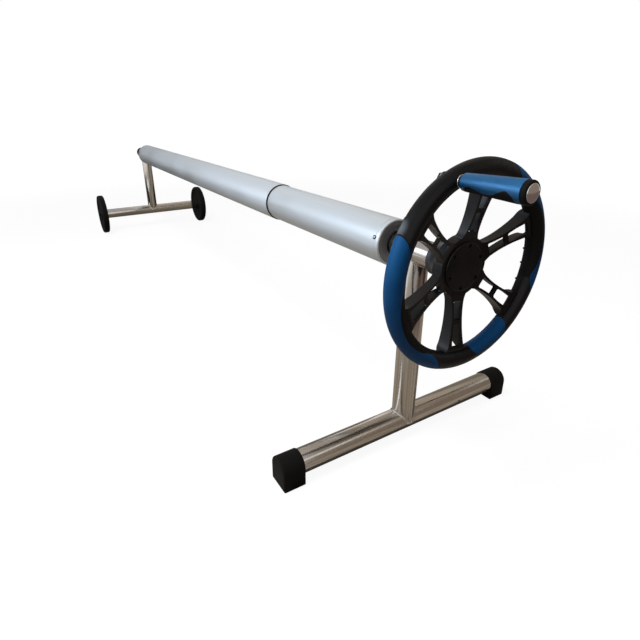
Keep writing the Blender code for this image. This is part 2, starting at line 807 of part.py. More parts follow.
def hand_wheel(axis):
    """Spider, rim, coloured pieces, hub cover and screws, about the wheel's centre."""
    hub = empty("hand wheel", axis, (RIM_PLANE, 0.0, 0.0))
    wheel = add("wheel_spider", spider(), BLACK_PLASTIC, hub)
    core = cutter("rim core", torus(RIM_CORE_RADIUS, CORE_STEPS, CORE_SIDES), hub)
    cut(wheel, core, "UNION")

    rim = add("rim_cover", torus(RIM_HALF, RIM_STEPS, RIM_SIDES), BLACK_GRAIN, hub)
    cut(rim, cutter("rim core space", torus(RIM_CORE_RADIUS + SEAT, CORE_STEPS, CORE_SIDES), hub))
    for spoke in range(SPOKES):
        angle = math.radians(SPOKE_ANGLE + 360 * spoke / SPOKES)
        notch = cutter(f"spoke notch {spoke + 1}", spoke_end(SEAT), hub, turn=(angle, 0, 0))
        cut(rim, notch)
    recesses, top_pad = rim_inlays(hub)
    for recess in recesses:
        cut(rim, recess)
    grip_hole = rod(-RIM_SECTION, RIM_SECTION, THREAD_RADIUS + SEAT)
    grip_hole = cutter("grip hole", grip_hole, hub, grip_place())
    for piece in (rim, wheel, top_pad):
        cut(piece, grip_hole)

    pocket_floor = ROOT_FRONT - HUB_POCKET
    bore = rod(ROOT_BACK - HUB_POCKET, pocket_floor + SEAT, SHAFT_RADIUS + SEAT, TUBE_STEPS)
    pocket = rod(pocket_floor, ROOT_FRONT + HUB_POCKET, HUB_POCKET_RADIUS, TUBE_STEPS)
    cut(wheel, cutter("hub bore", bore, hub))
    cut(wheel, cutter("hub pocket", pocket, hub))

    back = ROOT_FRONT + SEAT
    radius = HUB_COVER_RADIUS
    profile = [
        (back, 0.0),
        (back, radius),
        (HUB_COVER_FRONT - HUB_COVER_EDGE, radius),
        (HUB_COVER_FRONT, radius - HUB_COVER_EDGE),
        (HUB_COVER_FRONT, 0.0),
    ]
    cover = add("hub_cover", turned(profile, ROLLER_STEPS), BLACK_PLASTIC, hub)

    boss = hub_boss(axis)
    head_front = HUB_COVER_FRONT - HUB_SCREW_SUNK
    screw_end = ROOT_BACK - SEAT - BOSS_FLANGE
    screw = [
        (screw_end, 0.0),
        (screw_end, HUB_SCREW_RADIUS),
        (head_front - HUB_SCREW_HEAD, HUB_SCREW_RADIUS),
        (head_front - HUB_SCREW_HEAD, HUB_SCREW_HEAD_RADIUS),
        (head_front, HUB_SCREW_HEAD_RADIUS),
        (head_front, 0.0),
    ]
    under_head = head_front - HUB_SCREW_HEAD - SEAT
    for k in range(SPOKES):
        angle = math.radians(SPOKE_ANGLE + 360 * k / SPOKES)
        place = on_axis(0.0, HUB_SCREW_CIRCLE, angle)
        add(f"hub_screw_{k + 1}", turned(screw, SCREW_STEPS), STEEL, hub, place)
        through = rod(screw_end - SEAT, HUB_COVER_FRONT, HUB_SCREW_RADIUS + SEAT, SCREW_STEPS)
        through = cutter(f"hub screw hole {k + 1}", through, hub, place)
        sink = rod(under_head, 0.0, HUB_SCREW_HEAD_RADIUS + SEAT, SCREW_STEPS)
        sink = cutter(f"hub screw sink {k + 1}", sink, hub, place)
        for piece in (wheel, cover, boss):
            cut(piece, through)
        cut(cover, sink)

    shaft_end = pocket_floor - SEAT
    washer_back = pocket_floor + SEAT
    washer_front = washer_back + BOLT_WASHER
    hole = BOLT_RADIUS + SEAT
    washer = tube(washer_back, washer_front, BOLT_WASHER_RADIUS, hole, SMALL_STEPS)
    add("shaft_washer", washer, STEEL, hub)
    head_start = washer_front + SEAT
    bolt = prism(hexagon(BOLT_HEAD_ACROSS), head_start, head_start + BOLT_HEAD_HEIGHT)
    bolt = add("shaft_bolt", bolt, STEEL, hub)
    shank = rod(shaft_end - BOLT_REACH, head_start + BOLT_HEAD_HEIGHT / 2, BOLT_RADIUS)
    cut(bolt, cutter("shaft bolt shank", shank, hub), "UNION")
    grip(hub)
    return RIM_PLANE + shaft_end


def hub_boss(axis):
    """The flared boss between head tube and hand wheel, with a D-shaped bore."""
    end = RIM_PLANE + ROOT_BACK - SEAT
    flange = end - BOSS_FLANGE
    neck = BOSS_START + BOSS_NECK_LENGTH
    spread = BOSS_FLARE_RADIUS - BOSS_NECK_RADIUS
    profile = [(end, 0.0), (BOSS_START, 0.0), (BOSS_START, BOSS_NECK_RADIUS)]
    flare = 3
    for k in range(flare + 1):
        share = k / flare
        x = neck + (flange - neck) * share
        profile.append((x, BOSS_NECK_RADIUS + spread * (1 - math.cos(share * math.pi / 2))))
    profile += [(flange, BOSS_FLANGE_RADIUS), (end, BOSS_FLANGE_RADIUS)]
    boss = add("hub_boss", turned(profile, TUBE_STEPS), BLACK_PLASTIC, axis)
    bore = prism(
        d_outline(SHAFT_RADIUS + SEAT, SHAFT_FLAT),
        BOSS_START - BOSS_FLANGE,
        end + BOSS_FLANGE,
    )
    return cut(boss, cutter("boss bore", bore, axis))


def blend(values, share):
    """The value at this share of a smooth curve through evenly spaced values."""
    at = share * (len(values) - 1)
    i = min(int(at), len(values) - 2)
    t = at - i
    before = values[max(i - 1, 0)]
    a, b = values[i], values[i + 1]
    after = values[min(i + 2, len(values) - 1)]
    slope_a = (b - before) / 2
    slope_b = (after - a) / 2
    bend = t * t * (3 - 2 * t)
    return a + (b - a) * bend + slope_a * t * (1 - t) ** 2 - slope_b * t * t * (1 - t)


def grip(hub):
    """The grip that spins on a spindle bolted through the rim."""
    holder = empty("grip mounting", hub, grip_place())
    spin = empty("grip axis", holder)
    seat = RIM_HALF + SEAT
    washer_front = seat + GRIP_WASHER
    hole = THREAD_RADIUS + SEAT
    washer = tube(seat, washer_front, GRIP_WASHER_RADIUS, hole, SMALL_STEPS)
    add("grip_base_washer", washer, CHROME, holder)
    back = tube(-washer_front, -seat, GRIP_WASHER_RADIUS, hole, SMALL_STEPS)
    add("grip_back_washer", back, STEEL, holder)

    nut_front = -washer_front - SEAT
    nut_back = nut_front - NUT_HEIGHT
    nut = add("grip_nut", prism(hexagon(NUT_ACROSS), nut_back, nut_front), STEEL, holder)
    bore = rod(nut_back - NUT_HEIGHT, nut_front + NUT_HEIGHT, hole)
    cut(nut, cutter("grip nut bore", bore, holder))

    start = washer_front + 2 * SEAT
    cap_front = RIM_HALF + GRIP_LENGTH
    cap_back = cap_front - GRIP_CAP_LENGTH
    end = cap_back - SEAT
    bore_floor = end - GRIP_BORE_DEPTH
    spindle = [
        (nut_back - THREAD_RADIUS, 0.0),
        (nut_back - THREAD_RADIUS, THREAD_RADIUS),
        (washer_front + SEAT, THREAD_RADIUS),
        (washer_front + SEAT, SPINDLE_RADIUS),
        (bore_floor + 2 * RUNNING, SPINDLE_RADIUS),
        (bore_floor + 2 * RUNNING, SPINDLE_HEAD_RADIUS),
        (bore_floor + 2 * RUNNING + SPINDLE_HEAD, SPINDLE_HEAD_RADIUS),
        (bore_floor + 2 * RUNNING + SPINDLE_HEAD, 0.0),
    ]
    add("grip_spindle", turned(spindle, SMALL_STEPS), STEEL, holder)

    def radius_at(x):
        share = (x - start) / (end - start)
        return GRIP_BASE_RADIUS + (GRIP_END_RADIUS - GRIP_BASE_RADIUS) * share

    inner = SPINDLE_RADIUS + RUNNING
    sleeve = [
        (start, inner),
        (start, GRIP_BASE_RADIUS - GRIP_ROUNDING),
        (start + GRIP_ROUNDING, radius_at(start + GRIP_ROUNDING)),
        (end, GRIP_END_RADIUS),
        (end, GRIP_BORE_RADIUS),
        (bore_floor, GRIP_BORE_RADIUS),
        (bore_floor, inner),
    ]
    sleeve = add("grip_sleeve", turned(sleeve, GRIP_STEPS), BLUE, spin)

    def insert_shape(depth, proud, grow):
        """The wavy rubber piece on the side of the sleeve that faces down."""
        first = start + (end - start) * INSERT_START - grow
        last = start + (end - start) * INSERT_END + grow
        rows = []
        steps = 12
        sides = 5
        for inset in (-proud, depth):
            grid = []
            for i in range(steps + 1):
                x = first + (last - first) * i / steps
                radius = radius_at(x) - inset
                spread = blend(INSERT_HALF_ANGLES, i / steps) + math.degrees(grow / radius)
                angles = [270 - spread + 2 * spread * k / sides for k in range(sides + 1)]
                grid.append([on_axis(x, radius, math.radians(angle)) for angle in angles])
            rows.append(grid)
        return shell(rows)

    add("grip_insert", insert_shape(INSERT_DEPTH, 0.0, 0.0), BLACK_RUBBER, spin)
    recess = insert_shape(INSERT_DEPTH + SEAT, INSERT_DEPTH, INSERT_SLACK)
    cut(sleeve, cutter("grip insert recess", recess, spin))

    plug = GRIP_BORE_RADIUS - SEAT
    pocket = MEDALLION_RADIUS + SEAT
    cap = [
        (cap_back - SEAT - GRIP_CAP_PLUG, 0.0),
        (cap_back - SEAT - GRIP_CAP_PLUG, plug),
        (cap_back, plug),
        (cap_back, GRIP_CAP_RADIUS),
        (cap_front - GRIP_CAP_EDGE, GRIP_CAP_RADIUS),
        (cap_front, GRIP_CAP_RADIUS - GRIP_CAP_EDGE),
        (cap_front, pocket),
        (cap_front - MEDALLION_DEPTH, pocket),
        (cap_front - MEDALLION_DEPTH, 0.0),
    ]
    add("grip_cap", turned(cap, GRIP_STEPS), BLACK_RUBBER, spin)
    medallion = [(cap_front - MEDALLION_DEPTH + SEAT, 0.0)]
    medallion.append((cap_front - MEDALLION_DEPTH + SEAT, MEDALLION_RADIUS))
    dome_steps = 4
    for k in range(dome_steps + 1):
        lean = math.radians(90 * k / dome_steps)
        rise = MEDALLION_DOME * math.sin(lean)
        radius = 0.0 if k == dome_steps else MEDALLION_RADIUS * math.cos(lean)
        medallion.append((cap_front + rise, radius))
    add("grip_medallion", turned(medallion, GRIP_STEPS), CHROME, spin)


def near_stand():
    stand = empty("near stand", place=(NEAR_X, 0.0, 0.0))
    bar = foot_bar("near_foot_bar", stand, NEAR_BAR_HEIGHT, NEAR_BAR_LENGTH)
    place = (0.0, BAR_HOLE_Y, NEAR_BAR_HEIGHT)
    cut(bar, cutter("bar hole", rod(0.0, TUBE_OD, BAR_HOLE_RADIUS, SCREW_STEPS), stand, place))
    upright("near_upright", stand, NEAR_BAR_HEIGHT)
    head("near", stand, HEAD_TUBE_SHIFT)
    rubber_foot("rubber_foot_left", stand, -1)
    rubber_foot("rubber_foot_right", stand, 1)
    return stand


def far_stand():
    stand = empty("far stand", place=(FAR_X, 0.0, 0.0))
    foot_bar("far_foot_bar", stand, WHEEL_RADIUS, FAR_BAR_LENGTH)
    upright("far_upright", stand, WHEEL_RADIUS)
    head("far", stand, 0.0)
    axle_parts(stand, -1, "left")
    axle_parts(stand, 1, "right")
    return stand


def near_roller(stand):
    """Inner roller tube, shaft and hand wheel, which all turn together."""
    axis = empty("near roller axis", stand, (0.0, 0.0, AXIS_HEIGHT))
    bore = NEAR_TUBE_OD / 2 - NEAR_TUBE_WALL
    tube_start = -ROLLER_END - NEAR_TUBE_LENGTH
    roller = tube(tube_start, -ROLLER_END, NEAR_TUBE_OD / 2, bore, ROLLER_STEPS)
    roller = add("near_roller_tube", roller, ALUMINIUM, axis)
    face = -ROLLER_END - CAP_RECESS
    cap = end_cap("near", axis, face, 1, bore)
    cap_screws("near", NEAR_TUBE_OD / 2, axis, -ROLLER_END - CAP_SCREW_INSET, (roller, cap))

    guide = [
        (tube_start + GUIDE_SLEEVE, bore - SEAT),
        (tube_start + GUIDE_SLEEVE, bore - SEAT - GUIDE_WALL),
        (tube_start - SEAT - GUIDE_FLANGE, bore - SEAT - GUIDE_WALL),
        (tube_start - SEAT - GUIDE_FLANGE, FAR_BORE - RUNNING),
        (tube_start - SEAT, FAR_BORE - RUNNING),
        (tube_start - SEAT, bore - SEAT),
    ]
    add("guide_ring", turned(guide, ROLLER_STEPS), BLACK_PLASTIC, axis)

    shaft_front = hand_wheel(axis)
    shaft_back = face - CAP_DEPTH
    shaft = rod(shaft_back, shaft_front, SHAFT_RADIUS, TUBE_STEPS)
    shaft = add("near_shaft", shaft, STEEL, axis)
    flat_from = BOSS_START - SEAT
    level = SHAFT_RADIUS - SHAFT_FLAT
    wide = SHAFT_RADIUS + PAST
    flat = prism(
        [(-wide, level), (wide, level), (wide, wide), (-wide, wide)],
        flat_from,
        shaft_front + PAST,
    )
    cut(shaft, cutter("shaft flat", flat, axis))
    tapping = rod(shaft_front - BOLT_REACH - SEAT, shaft_front + BOLT_REACH, BOLT_RADIUS + SEAT)
    cut(shaft, cutter("near shaft tapping", tapping, axis))
    shaft_pin("near", axis, face - PIN_INSET, (shaft, cap))


def far_roller(stand):
    """Outer roller tube with its shaft, which follows the inner tube's turning."""
    axis = empty("far roller axis", stand, (0.0, 0.0, AXIS_HEIGHT))
    tube_end = NEAR_X - ROLLER_END - NEAR_TUBE_SHOWN - FAR_X
    outer = FAR_TUBE_OD / 2
    roller = tube(ROLLER_END, tube_end, outer, FAR_BORE, ROLLER_STEPS)
    roller = add("far_roller_tube", roller, ALUMINIUM, axis)
    slide = NEAR_TUBE_OD / 2 + RUNNING
    sleeve = FAR_BORE - SEAT / 2
    lip = tube_end + SEAT
    bush = [
        (tube_end - SLIDE_BUSH_DEPTH, slide),
        (tube_end - SLIDE_BUSH_DEPTH, sleeve),
        (lip, sleeve),
        (lip, sleeve + SLIDE_BUSH_STEP),
        (lip + SLIDE_BUSH_LIP, sleeve + SLIDE_BUSH_STEP),
        (lip + SLIDE_BUSH_LIP, slide),
    ]
    add("slide_bush", turned(bush, ROLLER_STEPS), BLACK_PLASTIC, axis)
    face = ROLLER_END + CAP_RECESS
    cap = end_cap("far", axis, face, -1, FAR_BORE)
    cap_screws("far", outer, axis, ROLLER_END + CAP_SCREW_INSET, (roller, cap))

    bush_face = -HEAD_TUBE_LENGTH / 2 - SEAT - BUSH_FLANGE
    collar = bush_face - 2 * RUNNING
    shaft_end = collar - FAR_CAP_LENGTH + FAR_CAP_WALL + BOLT_HEAD_HEIGHT + 4 * SEAT
    shaft_end += BOLT_WASHER
    shaft = rod(shaft_end, face + CAP_DEPTH, SHAFT_RADIUS, TUBE_STEPS)
    shaft = add("far_shaft", shaft, STEEL, axis)
    tapping = rod(shaft_end - BOLT_REACH, shaft_end + BOLT_REACH + SEAT, BOLT_RADIUS + SEAT)
    cut(shaft, cutter("far shaft tapping", tapping, axis))
    shaft_pin("far", axis, face + PIN_INSET, (shaft, cap))

    washer = tube(
        shaft_end - SEAT - BOLT_WASHER,
        shaft_end - SEAT,
        BOLT_WASHER_RADIUS,
        BOLT_RADIUS + SEAT,
        SMALL_STEPS,
    )
    add("far_shaft_washer", washer, STEEL, axis)
    head_end = shaft_end - 2 * SEAT - BOLT_WASHER
    bolt = prism(hexagon(BOLT_HEAD_ACROSS), head_end - BOLT_HEAD_HEIGHT, head_end)
    bolt = add("far_shaft_bolt", bolt, STEEL, axis)
    shank = rod(head_end - BOLT_HEAD_HEIGHT / 2, shaft_end + BOLT_REACH, BOLT_RADIUS)
    cut(bolt, cutter("far bolt shank", shank, axis), "UNION")

    end = collar - FAR_CAP_LENGTH
    corner = BUSH_FLANGE_RADIUS - FAR_CAP_EDGE
    collar_profile = [
        (collar, SHAFT_RADIUS + SEAT),
        (collar, BUSH_FLANGE_RADIUS),
        (end + FAR_CAP_EDGE, BUSH_FLANGE_RADIUS),
        (end, corner),
        (end, 0.0),
        (end + FAR_CAP_WALL, 0.0),
        (end + FAR_CAP_WALL, BOLT_WASHER_RADIUS + SEAT),
        (shaft_end + SEAT, BOLT_WASHER_RADIUS + SEAT),
        (shaft_end + SEAT, SHAFT_RADIUS + SEAT),
    ]
    add("far_shaft_cap", turned(collar_profile, TUBE_STEPS), BLACK_PLASTIC, axis)


FAR_BORE = FAR_TUBE_OD / 2 - FAR_TUBE_WALL
FRONT_REACH = RIM_PLANE + RIM_HALF + GRIP_LENGTH + MEDALLION_DOME
BACK_REACH = HEAD_TUBE_LENGTH / 2 + SEAT + BUSH_FLANGE + 2 * RUNNING + FAR_CAP_LENGTH
NEAR_X = (STAND_SPACING + BACK_REACH - FRONT_REACH) / 2
FAR_X = NEAR_X - STAND_SPACING


def main():
    for thing in list(bpy.data.objects):
        bpy.data.objects.remove(thing, do_unlink=True)
    near = near_stand()
    near_roller(near)
    far = far_stand()
    far_roller(far)


main()
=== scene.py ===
import math

import bmesh
import bpy
from mathutils import Matrix, Vector


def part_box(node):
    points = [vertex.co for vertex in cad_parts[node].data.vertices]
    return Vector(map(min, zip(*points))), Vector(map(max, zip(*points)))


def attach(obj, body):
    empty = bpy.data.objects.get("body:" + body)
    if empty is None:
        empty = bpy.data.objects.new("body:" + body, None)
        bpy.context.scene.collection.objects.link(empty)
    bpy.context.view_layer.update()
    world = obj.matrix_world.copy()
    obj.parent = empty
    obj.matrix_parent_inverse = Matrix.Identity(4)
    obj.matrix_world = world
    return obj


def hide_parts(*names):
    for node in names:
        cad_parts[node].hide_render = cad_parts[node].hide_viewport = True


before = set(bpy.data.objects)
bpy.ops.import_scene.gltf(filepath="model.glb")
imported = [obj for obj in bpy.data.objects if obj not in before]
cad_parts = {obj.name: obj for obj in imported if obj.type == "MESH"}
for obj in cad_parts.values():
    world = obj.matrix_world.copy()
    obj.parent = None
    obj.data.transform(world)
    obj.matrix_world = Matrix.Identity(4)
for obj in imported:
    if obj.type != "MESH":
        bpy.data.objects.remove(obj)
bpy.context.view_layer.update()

scene = bpy.context.scene
print("frame loaded,", len(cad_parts), "nodes")

# Where the main axes run, read from the frame
nearLow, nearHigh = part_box("near_upright")
farLow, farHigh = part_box("far_upright")
headLow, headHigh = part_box("near_head_tube")
rimLow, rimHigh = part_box("rim_cover")
nearX = (nearLow.x + nearHigh.x) / 2
farX = (farLow.x + farHigh.x) / 2
axisHeight = (headLow.z + headHigh.z) / 2
wheelX = (rimLow.x + rimHigh.x) / 2
onAxis = (0.0, 0.0, axisHeight)
wheelMiddle = (wheelX, 0.0, axisHeight)
origin = (0.0, 0.0, 0.0)

# Sizes that several pieces share
tubeRadius = (headHigh.z - headLow.z) / 2
tubeBore = tubeRadius - 0.0015
shaftBore = 0.0128
gap = 0.0003

# Turns of shapes made along X, by the side they face
upwards = Matrix.Rotation(-math.pi / 2, 4, "Y")
alongWidth = {1: Matrix.Rotation(math.pi / 2, 4, "Z"), -1: Matrix.Rotation(-math.pi / 2, 4, "Z")}
alongRoller = {1: None, -1: Matrix.Rotation(math.pi, 4, "Z")}


def aboutX(degrees):
    return Matrix.Rotation(math.radians(degrees), 4, "X")


# Camera, where the photograph was taken from

view = {
    "place": (1.449475, -0.5288, 0.5951),
    "turn": 0.5426,  # from -X towards +Y
    "tilt": 0.3936,  # down
    "roll": -0.0050,
    "lens": 25.86,
    "shift": (0.0116, -0.0385),
}


def addCamera():
    turn, tilt, roll = view["turn"], view["tilt"], view["roll"]
    forward = Vector((-math.cos(turn) * math.cos(tilt), math.sin(turn) * math.cos(tilt), -math.sin(tilt)))
    level = forward.cross(Vector((0.0, 0.0, 1.0))).normalized()
    above = level.cross(forward)
    right = level * math.cos(roll) + above * math.sin(roll)
    up = above * math.cos(roll) - level * math.sin(roll)
    data = bpy.data.cameras.new("camera")
    data.lens = view["lens"]
    data.sensor_width = 36.0
    data.shift_x, data.shift_y = view["shift"]
    data.clip_start = 0.01
    camera = bpy.data.objects.new("camera", data)
    place = Matrix((right, up, -forward)).transposed().to_4x4()
    place.translation = view["place"]
    camera.matrix_world = place
    scene.collection.objects.link(camera)
    scene.camera = camera


addCamera()


# Shared surface effects

def setValues(tree, node, values):
    # another node's output is linked, a constant goes straight on the socket
    for label, value in values.items():
        if isinstance(value, bpy.types.NodeSocket):
            tree.links.new(value, node.inputs[label])
        else:
            node.inputs[label].default_value = value


def makeNode(tree, kind, values, **settings):
    node = tree.nodes.new(kind)
    for name, setting in settings.items():
        setattr(node, name, setting)
    setValues(tree, node, values)
    return node.outputs


def mapRange(tree, source, low, high, newLow=0.0, newHigh=1.0):
    values = {"Value": source, "From Min": low, "From Max": high, "To Min": newLow, "To Max": newHigh}
    return makeNode(tree, "ShaderNodeMapRange", values, interpolation_type="SMOOTHSTEP")["Result"]


def noise(tree, vector, scale, detail, roughness=0.5):
    values = {"Vector": vector, "Scale": scale, "Detail": detail, "Roughness": roughness}
    return makeNode(tree, "ShaderNodeTexNoise", values)["Fac"]


def calculate(tree, operation, first, second):
    return makeNode(tree, "ShaderNodeMath", {0: first, 1: second}, operation=operation)[0]


def scaled(tree, value, amount):
    return calculate(tree, "MULTIPLY", value, amount)


def added(tree, first, second):
    return calculate(tree, "ADD", first, second)


def vectorMaths(tree, operation, *vectors):
    return makeNode(tree, "ShaderNodeVectorMath", dict(enumerate(vectors)), operation=operation)


def mixColour(tree, mask, first, second):
    first, second = ((*value, 1.0) if isinstance(value, tuple) else value for value in (first, second))
    return makeNode(tree, "ShaderNodeMix", {"Factor": mask, 6: first, 7: second}, data_type="RGBA")[2]


def bump(tree, height, distance, strength, **below):
    values = {"Height": height, "Distance": distance, "Strength": strength, **below}
    return makeNode(tree, "ShaderNodeBump", values)["Normal"]


def softPatches(tree, spot, scale):
    # cloudy areas, as of handling and dried water
    cloud = noise(tree, spot, scale, detail=5.0, roughness=0.55)
    return {"Mask": mapRange(tree, cloud, 0.36, 0.66)}


def fineGrain(tree, spot, scale):
    # moulded or bead-blasted texture in two sizes
    fine = noise(tree, spot, scale, detail=2.0)
    coarse = noise(tree, spot, scaled(tree, scale, 0.23), detail=2.0)
    return {"Height": added(tree, scaled(tree, fine, 0.6), coarse)}


def drawnStreaks(tree, spot, scale, stretch):
    # lines drawn out along a tube, from rolling and polishing
    stretched = vectorMaths(tree, "MULTIPLY", spot, stretch)["Vector"]
    lines = noise(tree, stretched, scale, detail=6.0, roughness=0.6)
    return {"Mask": mapRange(tree, lines, 0.38, 0.62), "Height": lines}


def thinScuffs(tree, spot, scale):
    # short scratches, kept sparse by a second noise
    leaning = {"Vector": spot, "Rotation": (0.4, 0.7, 0.3), "Scale": (0.12, 1.6, 1.0)}
    lines = noise(tree, makeNode(tree, "ShaderNodeMapping", leaning)["Vector"], scale, detail=3.0)
    where = mapRange(tree, noise(tree, spot, 14.0, detail=2.0), 0.50, 0.66)
    return {"Mask": scaled(tree, mapRange(tree, lines, 0.655, 0.70), where)}


def pebbleGrain(tree, spot, scale):
    # leather-like pebbles of a moulded cover
    values = {"Vector": spot, "Scale": scale, "Smoothness": 0.35, "Randomness": 0.9}
    away = makeNode(tree, "ShaderNodeTexVoronoi", values, feature="SMOOTH_F1")["Distance"]
    height = mapRange(tree, away, 0.15, 0.75, 1.0, 0.0)
    return {"Height": height, "Crease": mapRange(tree, away, 0.45, 0.80)}


def shareEffect(build, outputs, *vectors):
    # a node group that puts out only masks and heights
    group = bpy.data.node_groups.new(build.__name__, "ShaderNodeTree")
    labels = ("Vector", "Scale", *vectors)
    for label in labels:
        kind = "NodeSocketFloat" if label == "Scale" else "NodeSocketVector"
        group.interface.new_socket(label, in_out="INPUT", socket_type=kind)
    for label in outputs:
        group.interface.new_socket(label, in_out="OUTPUT", socket_type="NodeSocketFloat")
    given = group.nodes.new("NodeGroupInput").outputs
    results = build(group, *[given[label] for label in labels])
    setValues(group, group.nodes.new("NodeGroupOutput"), results)
    return group


effects = {
    "patches": shareEffect(softPatches, ["Mask"]),
    "grain": shareEffect(fineGrain, ["Height"]),
    "streaks": shareEffect(drawnStreaks, ["Mask", "Height"], "Stretch"),
    "scuffs": shareEffect(thinScuffs, ["Mask"]),
    "pebble": shareEffect(pebbleGrain, ["Height", "Crease"]),
}


def useEffect(tree, effect, vector, **values):
    return makeNode(tree, "ShaderNodeGroup", {"Vector": vector, **values}, node_tree=effects[effect])


def startFinish(name, metallic, specular):
    finish = bpy.data.materials.new(name)
    finish.use_nodes = True
    tree = finish.node_tree
    shader = tree.nodes["Principled BSDF"]
    setValues(tree, shader, {"Metallic": metallic, "Specular IOR Level": specular})
    return finish, tree, shader, tree.nodes.new("ShaderNodeTexCoord").outputs["Object"]


def makeTubeFinish(name, look, stretch=(1.0, 1.0, 1.0)):
    finish, tree, shader, spot = startFinish(name, look["metallic"], 0.5)
    streaks = useEffect(tree, "streaks", spot, Stretch=stretch, Scale=look["streakScale"])
    patches = useEffect(tree, "patches", spot, Scale=look["patchScale"])
    scuffs = useEffect(tree, "scuffs", spot, Scale=look["scuffScale"])
    grain = useEffect(tree, "grain", spot, Scale=look["grainScale"])
    streakShare = scaled(tree, streaks["Mask"], look["streakColour"])
    colour = mixColour(tree, streakShare, look["colour"], look["streak"])
    patchShare = scaled(tree, patches["Mask"], look["patchColour"])
    colour = mixColour(tree, patchShare, colour, look["patch"])
    rough = mapRange(tree, patches["Mask"], 0.0, 1.0, *look["rough"])
    rough = added(tree, rough, scaled(tree, streaks["Mask"], look["streakRough"]))
    rough = added(tree, rough, scaled(tree, scuffs["Mask"], look["scuffRough"]))
    normal = bump(tree, streaks["Height"], look["streakDepth"], strength=0.5)
    normal = bump(tree, grain["Height"], look["grainDepth"], strength=0.4, Normal=normal)
    setValues(tree, shader, {"Base Color": colour, "Roughness": rough, "Normal": normal})
    return finish


def makeMouldedFinish(name, look):
    finish, tree, shader, spot = startFinish(name, look["metallic"], look["specular"])
    patches = useEffect(tree, "patches", spot, Scale=look["patchScale"])
    scuffs = useEffect(tree, "scuffs", spot, Scale=look["scuffScale"])
    grain = useEffect(tree, "grain", spot, Scale=look["grainScale"])
    colour = mixColour(tree, patches["Mask"], look["colour"], look["patch"])
    colour = mixColour(tree, scaled(tree, scuffs["Mask"], look["scuffShare"]), colour, look["scuff"])
    rough = mapRange(tree, patches["Mask"], 0.0, 1.0, *look["rough"])
    rough = added(tree, rough, scaled(tree, grain["Height"], look["grainRough"]))
    normal = bump(tree, grain["Height"], look["grainDepth"], strength=0.6)
    if "pebbleScale" in look:
        pebble = useEffect(tree, "pebble", spot, Scale=look["pebbleScale"])
        normal = bump(tree, pebble["Height"], look["pebbleDepth"], strength=0.7, Normal=normal)
        # painted shade: the creases between the pebbles are painted darker, and made rougher
        creased = scaled(tree, pebble["Crease"], look["creaseShare"])
        colour = mixColour(tree, creased, colour, look["creaseShade"])
        rough = added(tree, rough, scaled(tree, pebble["Crease"], look["creaseRough"]))
    # painted highlight: the cover is painted lighter round one point on its upper left, in place of a sheen
    if "paintedSheen" in look:
        away = vectorMaths(tree, "DISTANCE", spot, look["paintedSheenAt"])["Value"]
        sheenMask = mapRange(tree, away, *look["paintedSheenReach"], 1.0, 0.0)
        colour = mixColour(tree, sheenMask, colour, look["paintedSheen"])
    setValues(tree, shader, {"Base Color": colour, "Roughness": rough, "Normal": normal})
    if "coat" in look:
        setValues(tree, shader, {"Coat Weight": look["coat"], "Coat Roughness": look["coatRough"]})
    return finish


steelLook = {
    "metallic": 1.0,
    "colour": (0.63, 0.59, 0.54),
    "streak": (0.52, 0.48, 0.43),
    "patch": (0.56, 0.51, 0.46),
    "streakColour": 0.55,
    "patchColour": 0.5,
    "streakScale": 160.0,
    "patchScale": 9.0,
    "scuffScale": 120.0,
    "rough": (0.13, 0.20),
    "streakRough": 0.05,
    "scuffRough": 0.12,
    "streakDepth": 0.00006,
    "grainScale": 2400.0,
    "grainDepth": 0.00001,
}
aluminiumLook = {
    "metallic": 0.60,
    "colour": (0.77, 0.83, 0.88),
    "streak": (0.71, 0.77, 0.82),
    "patch": (0.73, 0.79, 0.85),
    "streakColour": 0.5,
    "patchColour": 0.6,
    "streakScale": 220.0,
    "patchScale": 6.0,
    "scuffScale": 80.0,
    "rough": (0.38, 0.46),
    "streakRough": 0.05,
    "scuffRough": 0.08,
    "streakDepth": 0.00004,
    "grainScale": 1800.0,
    "grainDepth": 0.00002,
}
chromeLook = {
    "metallic": 1.0,
    "colour": (0.80, 0.79, 0.78),
    "streak": (0.74, 0.73, 0.72),
    "patch": (0.76, 0.74, 0.72),
    "streakColour": 0.3,
    "patchColour": 0.4,
    "streakScale": 500.0,
    "patchScale": 60.0,
    "scuffScale": 300.0,
    "rough": (0.05, 0.10),
    "streakRough": 0.03,
    "scuffRough": 0.15,
    "streakDepth": 0.00001,
    "grainScale": 3000.0,
    "grainDepth": 0.000006,
}
boltLook = dict(chromeLook, colour=(0.55, 0.54, 0.52), patch=(0.42, 0.40, 0.38), rough=(0.22, 0.34))
# blackened screws, and the dark ring of painted shade under the cap screws
darkBoltAndShadeRingLook = dict(
    chromeLook,
    colour=(0.045, 0.045, 0.048),
    streak=(0.035, 0.035, 0.037),
    patch=(0.06, 0.055, 0.05),
    rough=(0.30, 0.42),
)

# bare metal at the cut tube end: its own lighter colour, made near white and hardly metallic as a painted
# highlight on the edge
cutEdgeHighlightLook = dict(
    aluminiumLook,
    metallic=0.1,
    colour=(0.95, 0.95, 0.93),
    streak=(0.90, 0.90, 0.88),
    patch=(0.92, 0.92, 0.90),
)
weldLook = dict(
    steelLook,
    colour=(0.58, 0.54, 0.50),
    patch=(0.36, 0.30, 0.25),
    patchScale=90.0,
    rough=(0.26, 0.42),
)

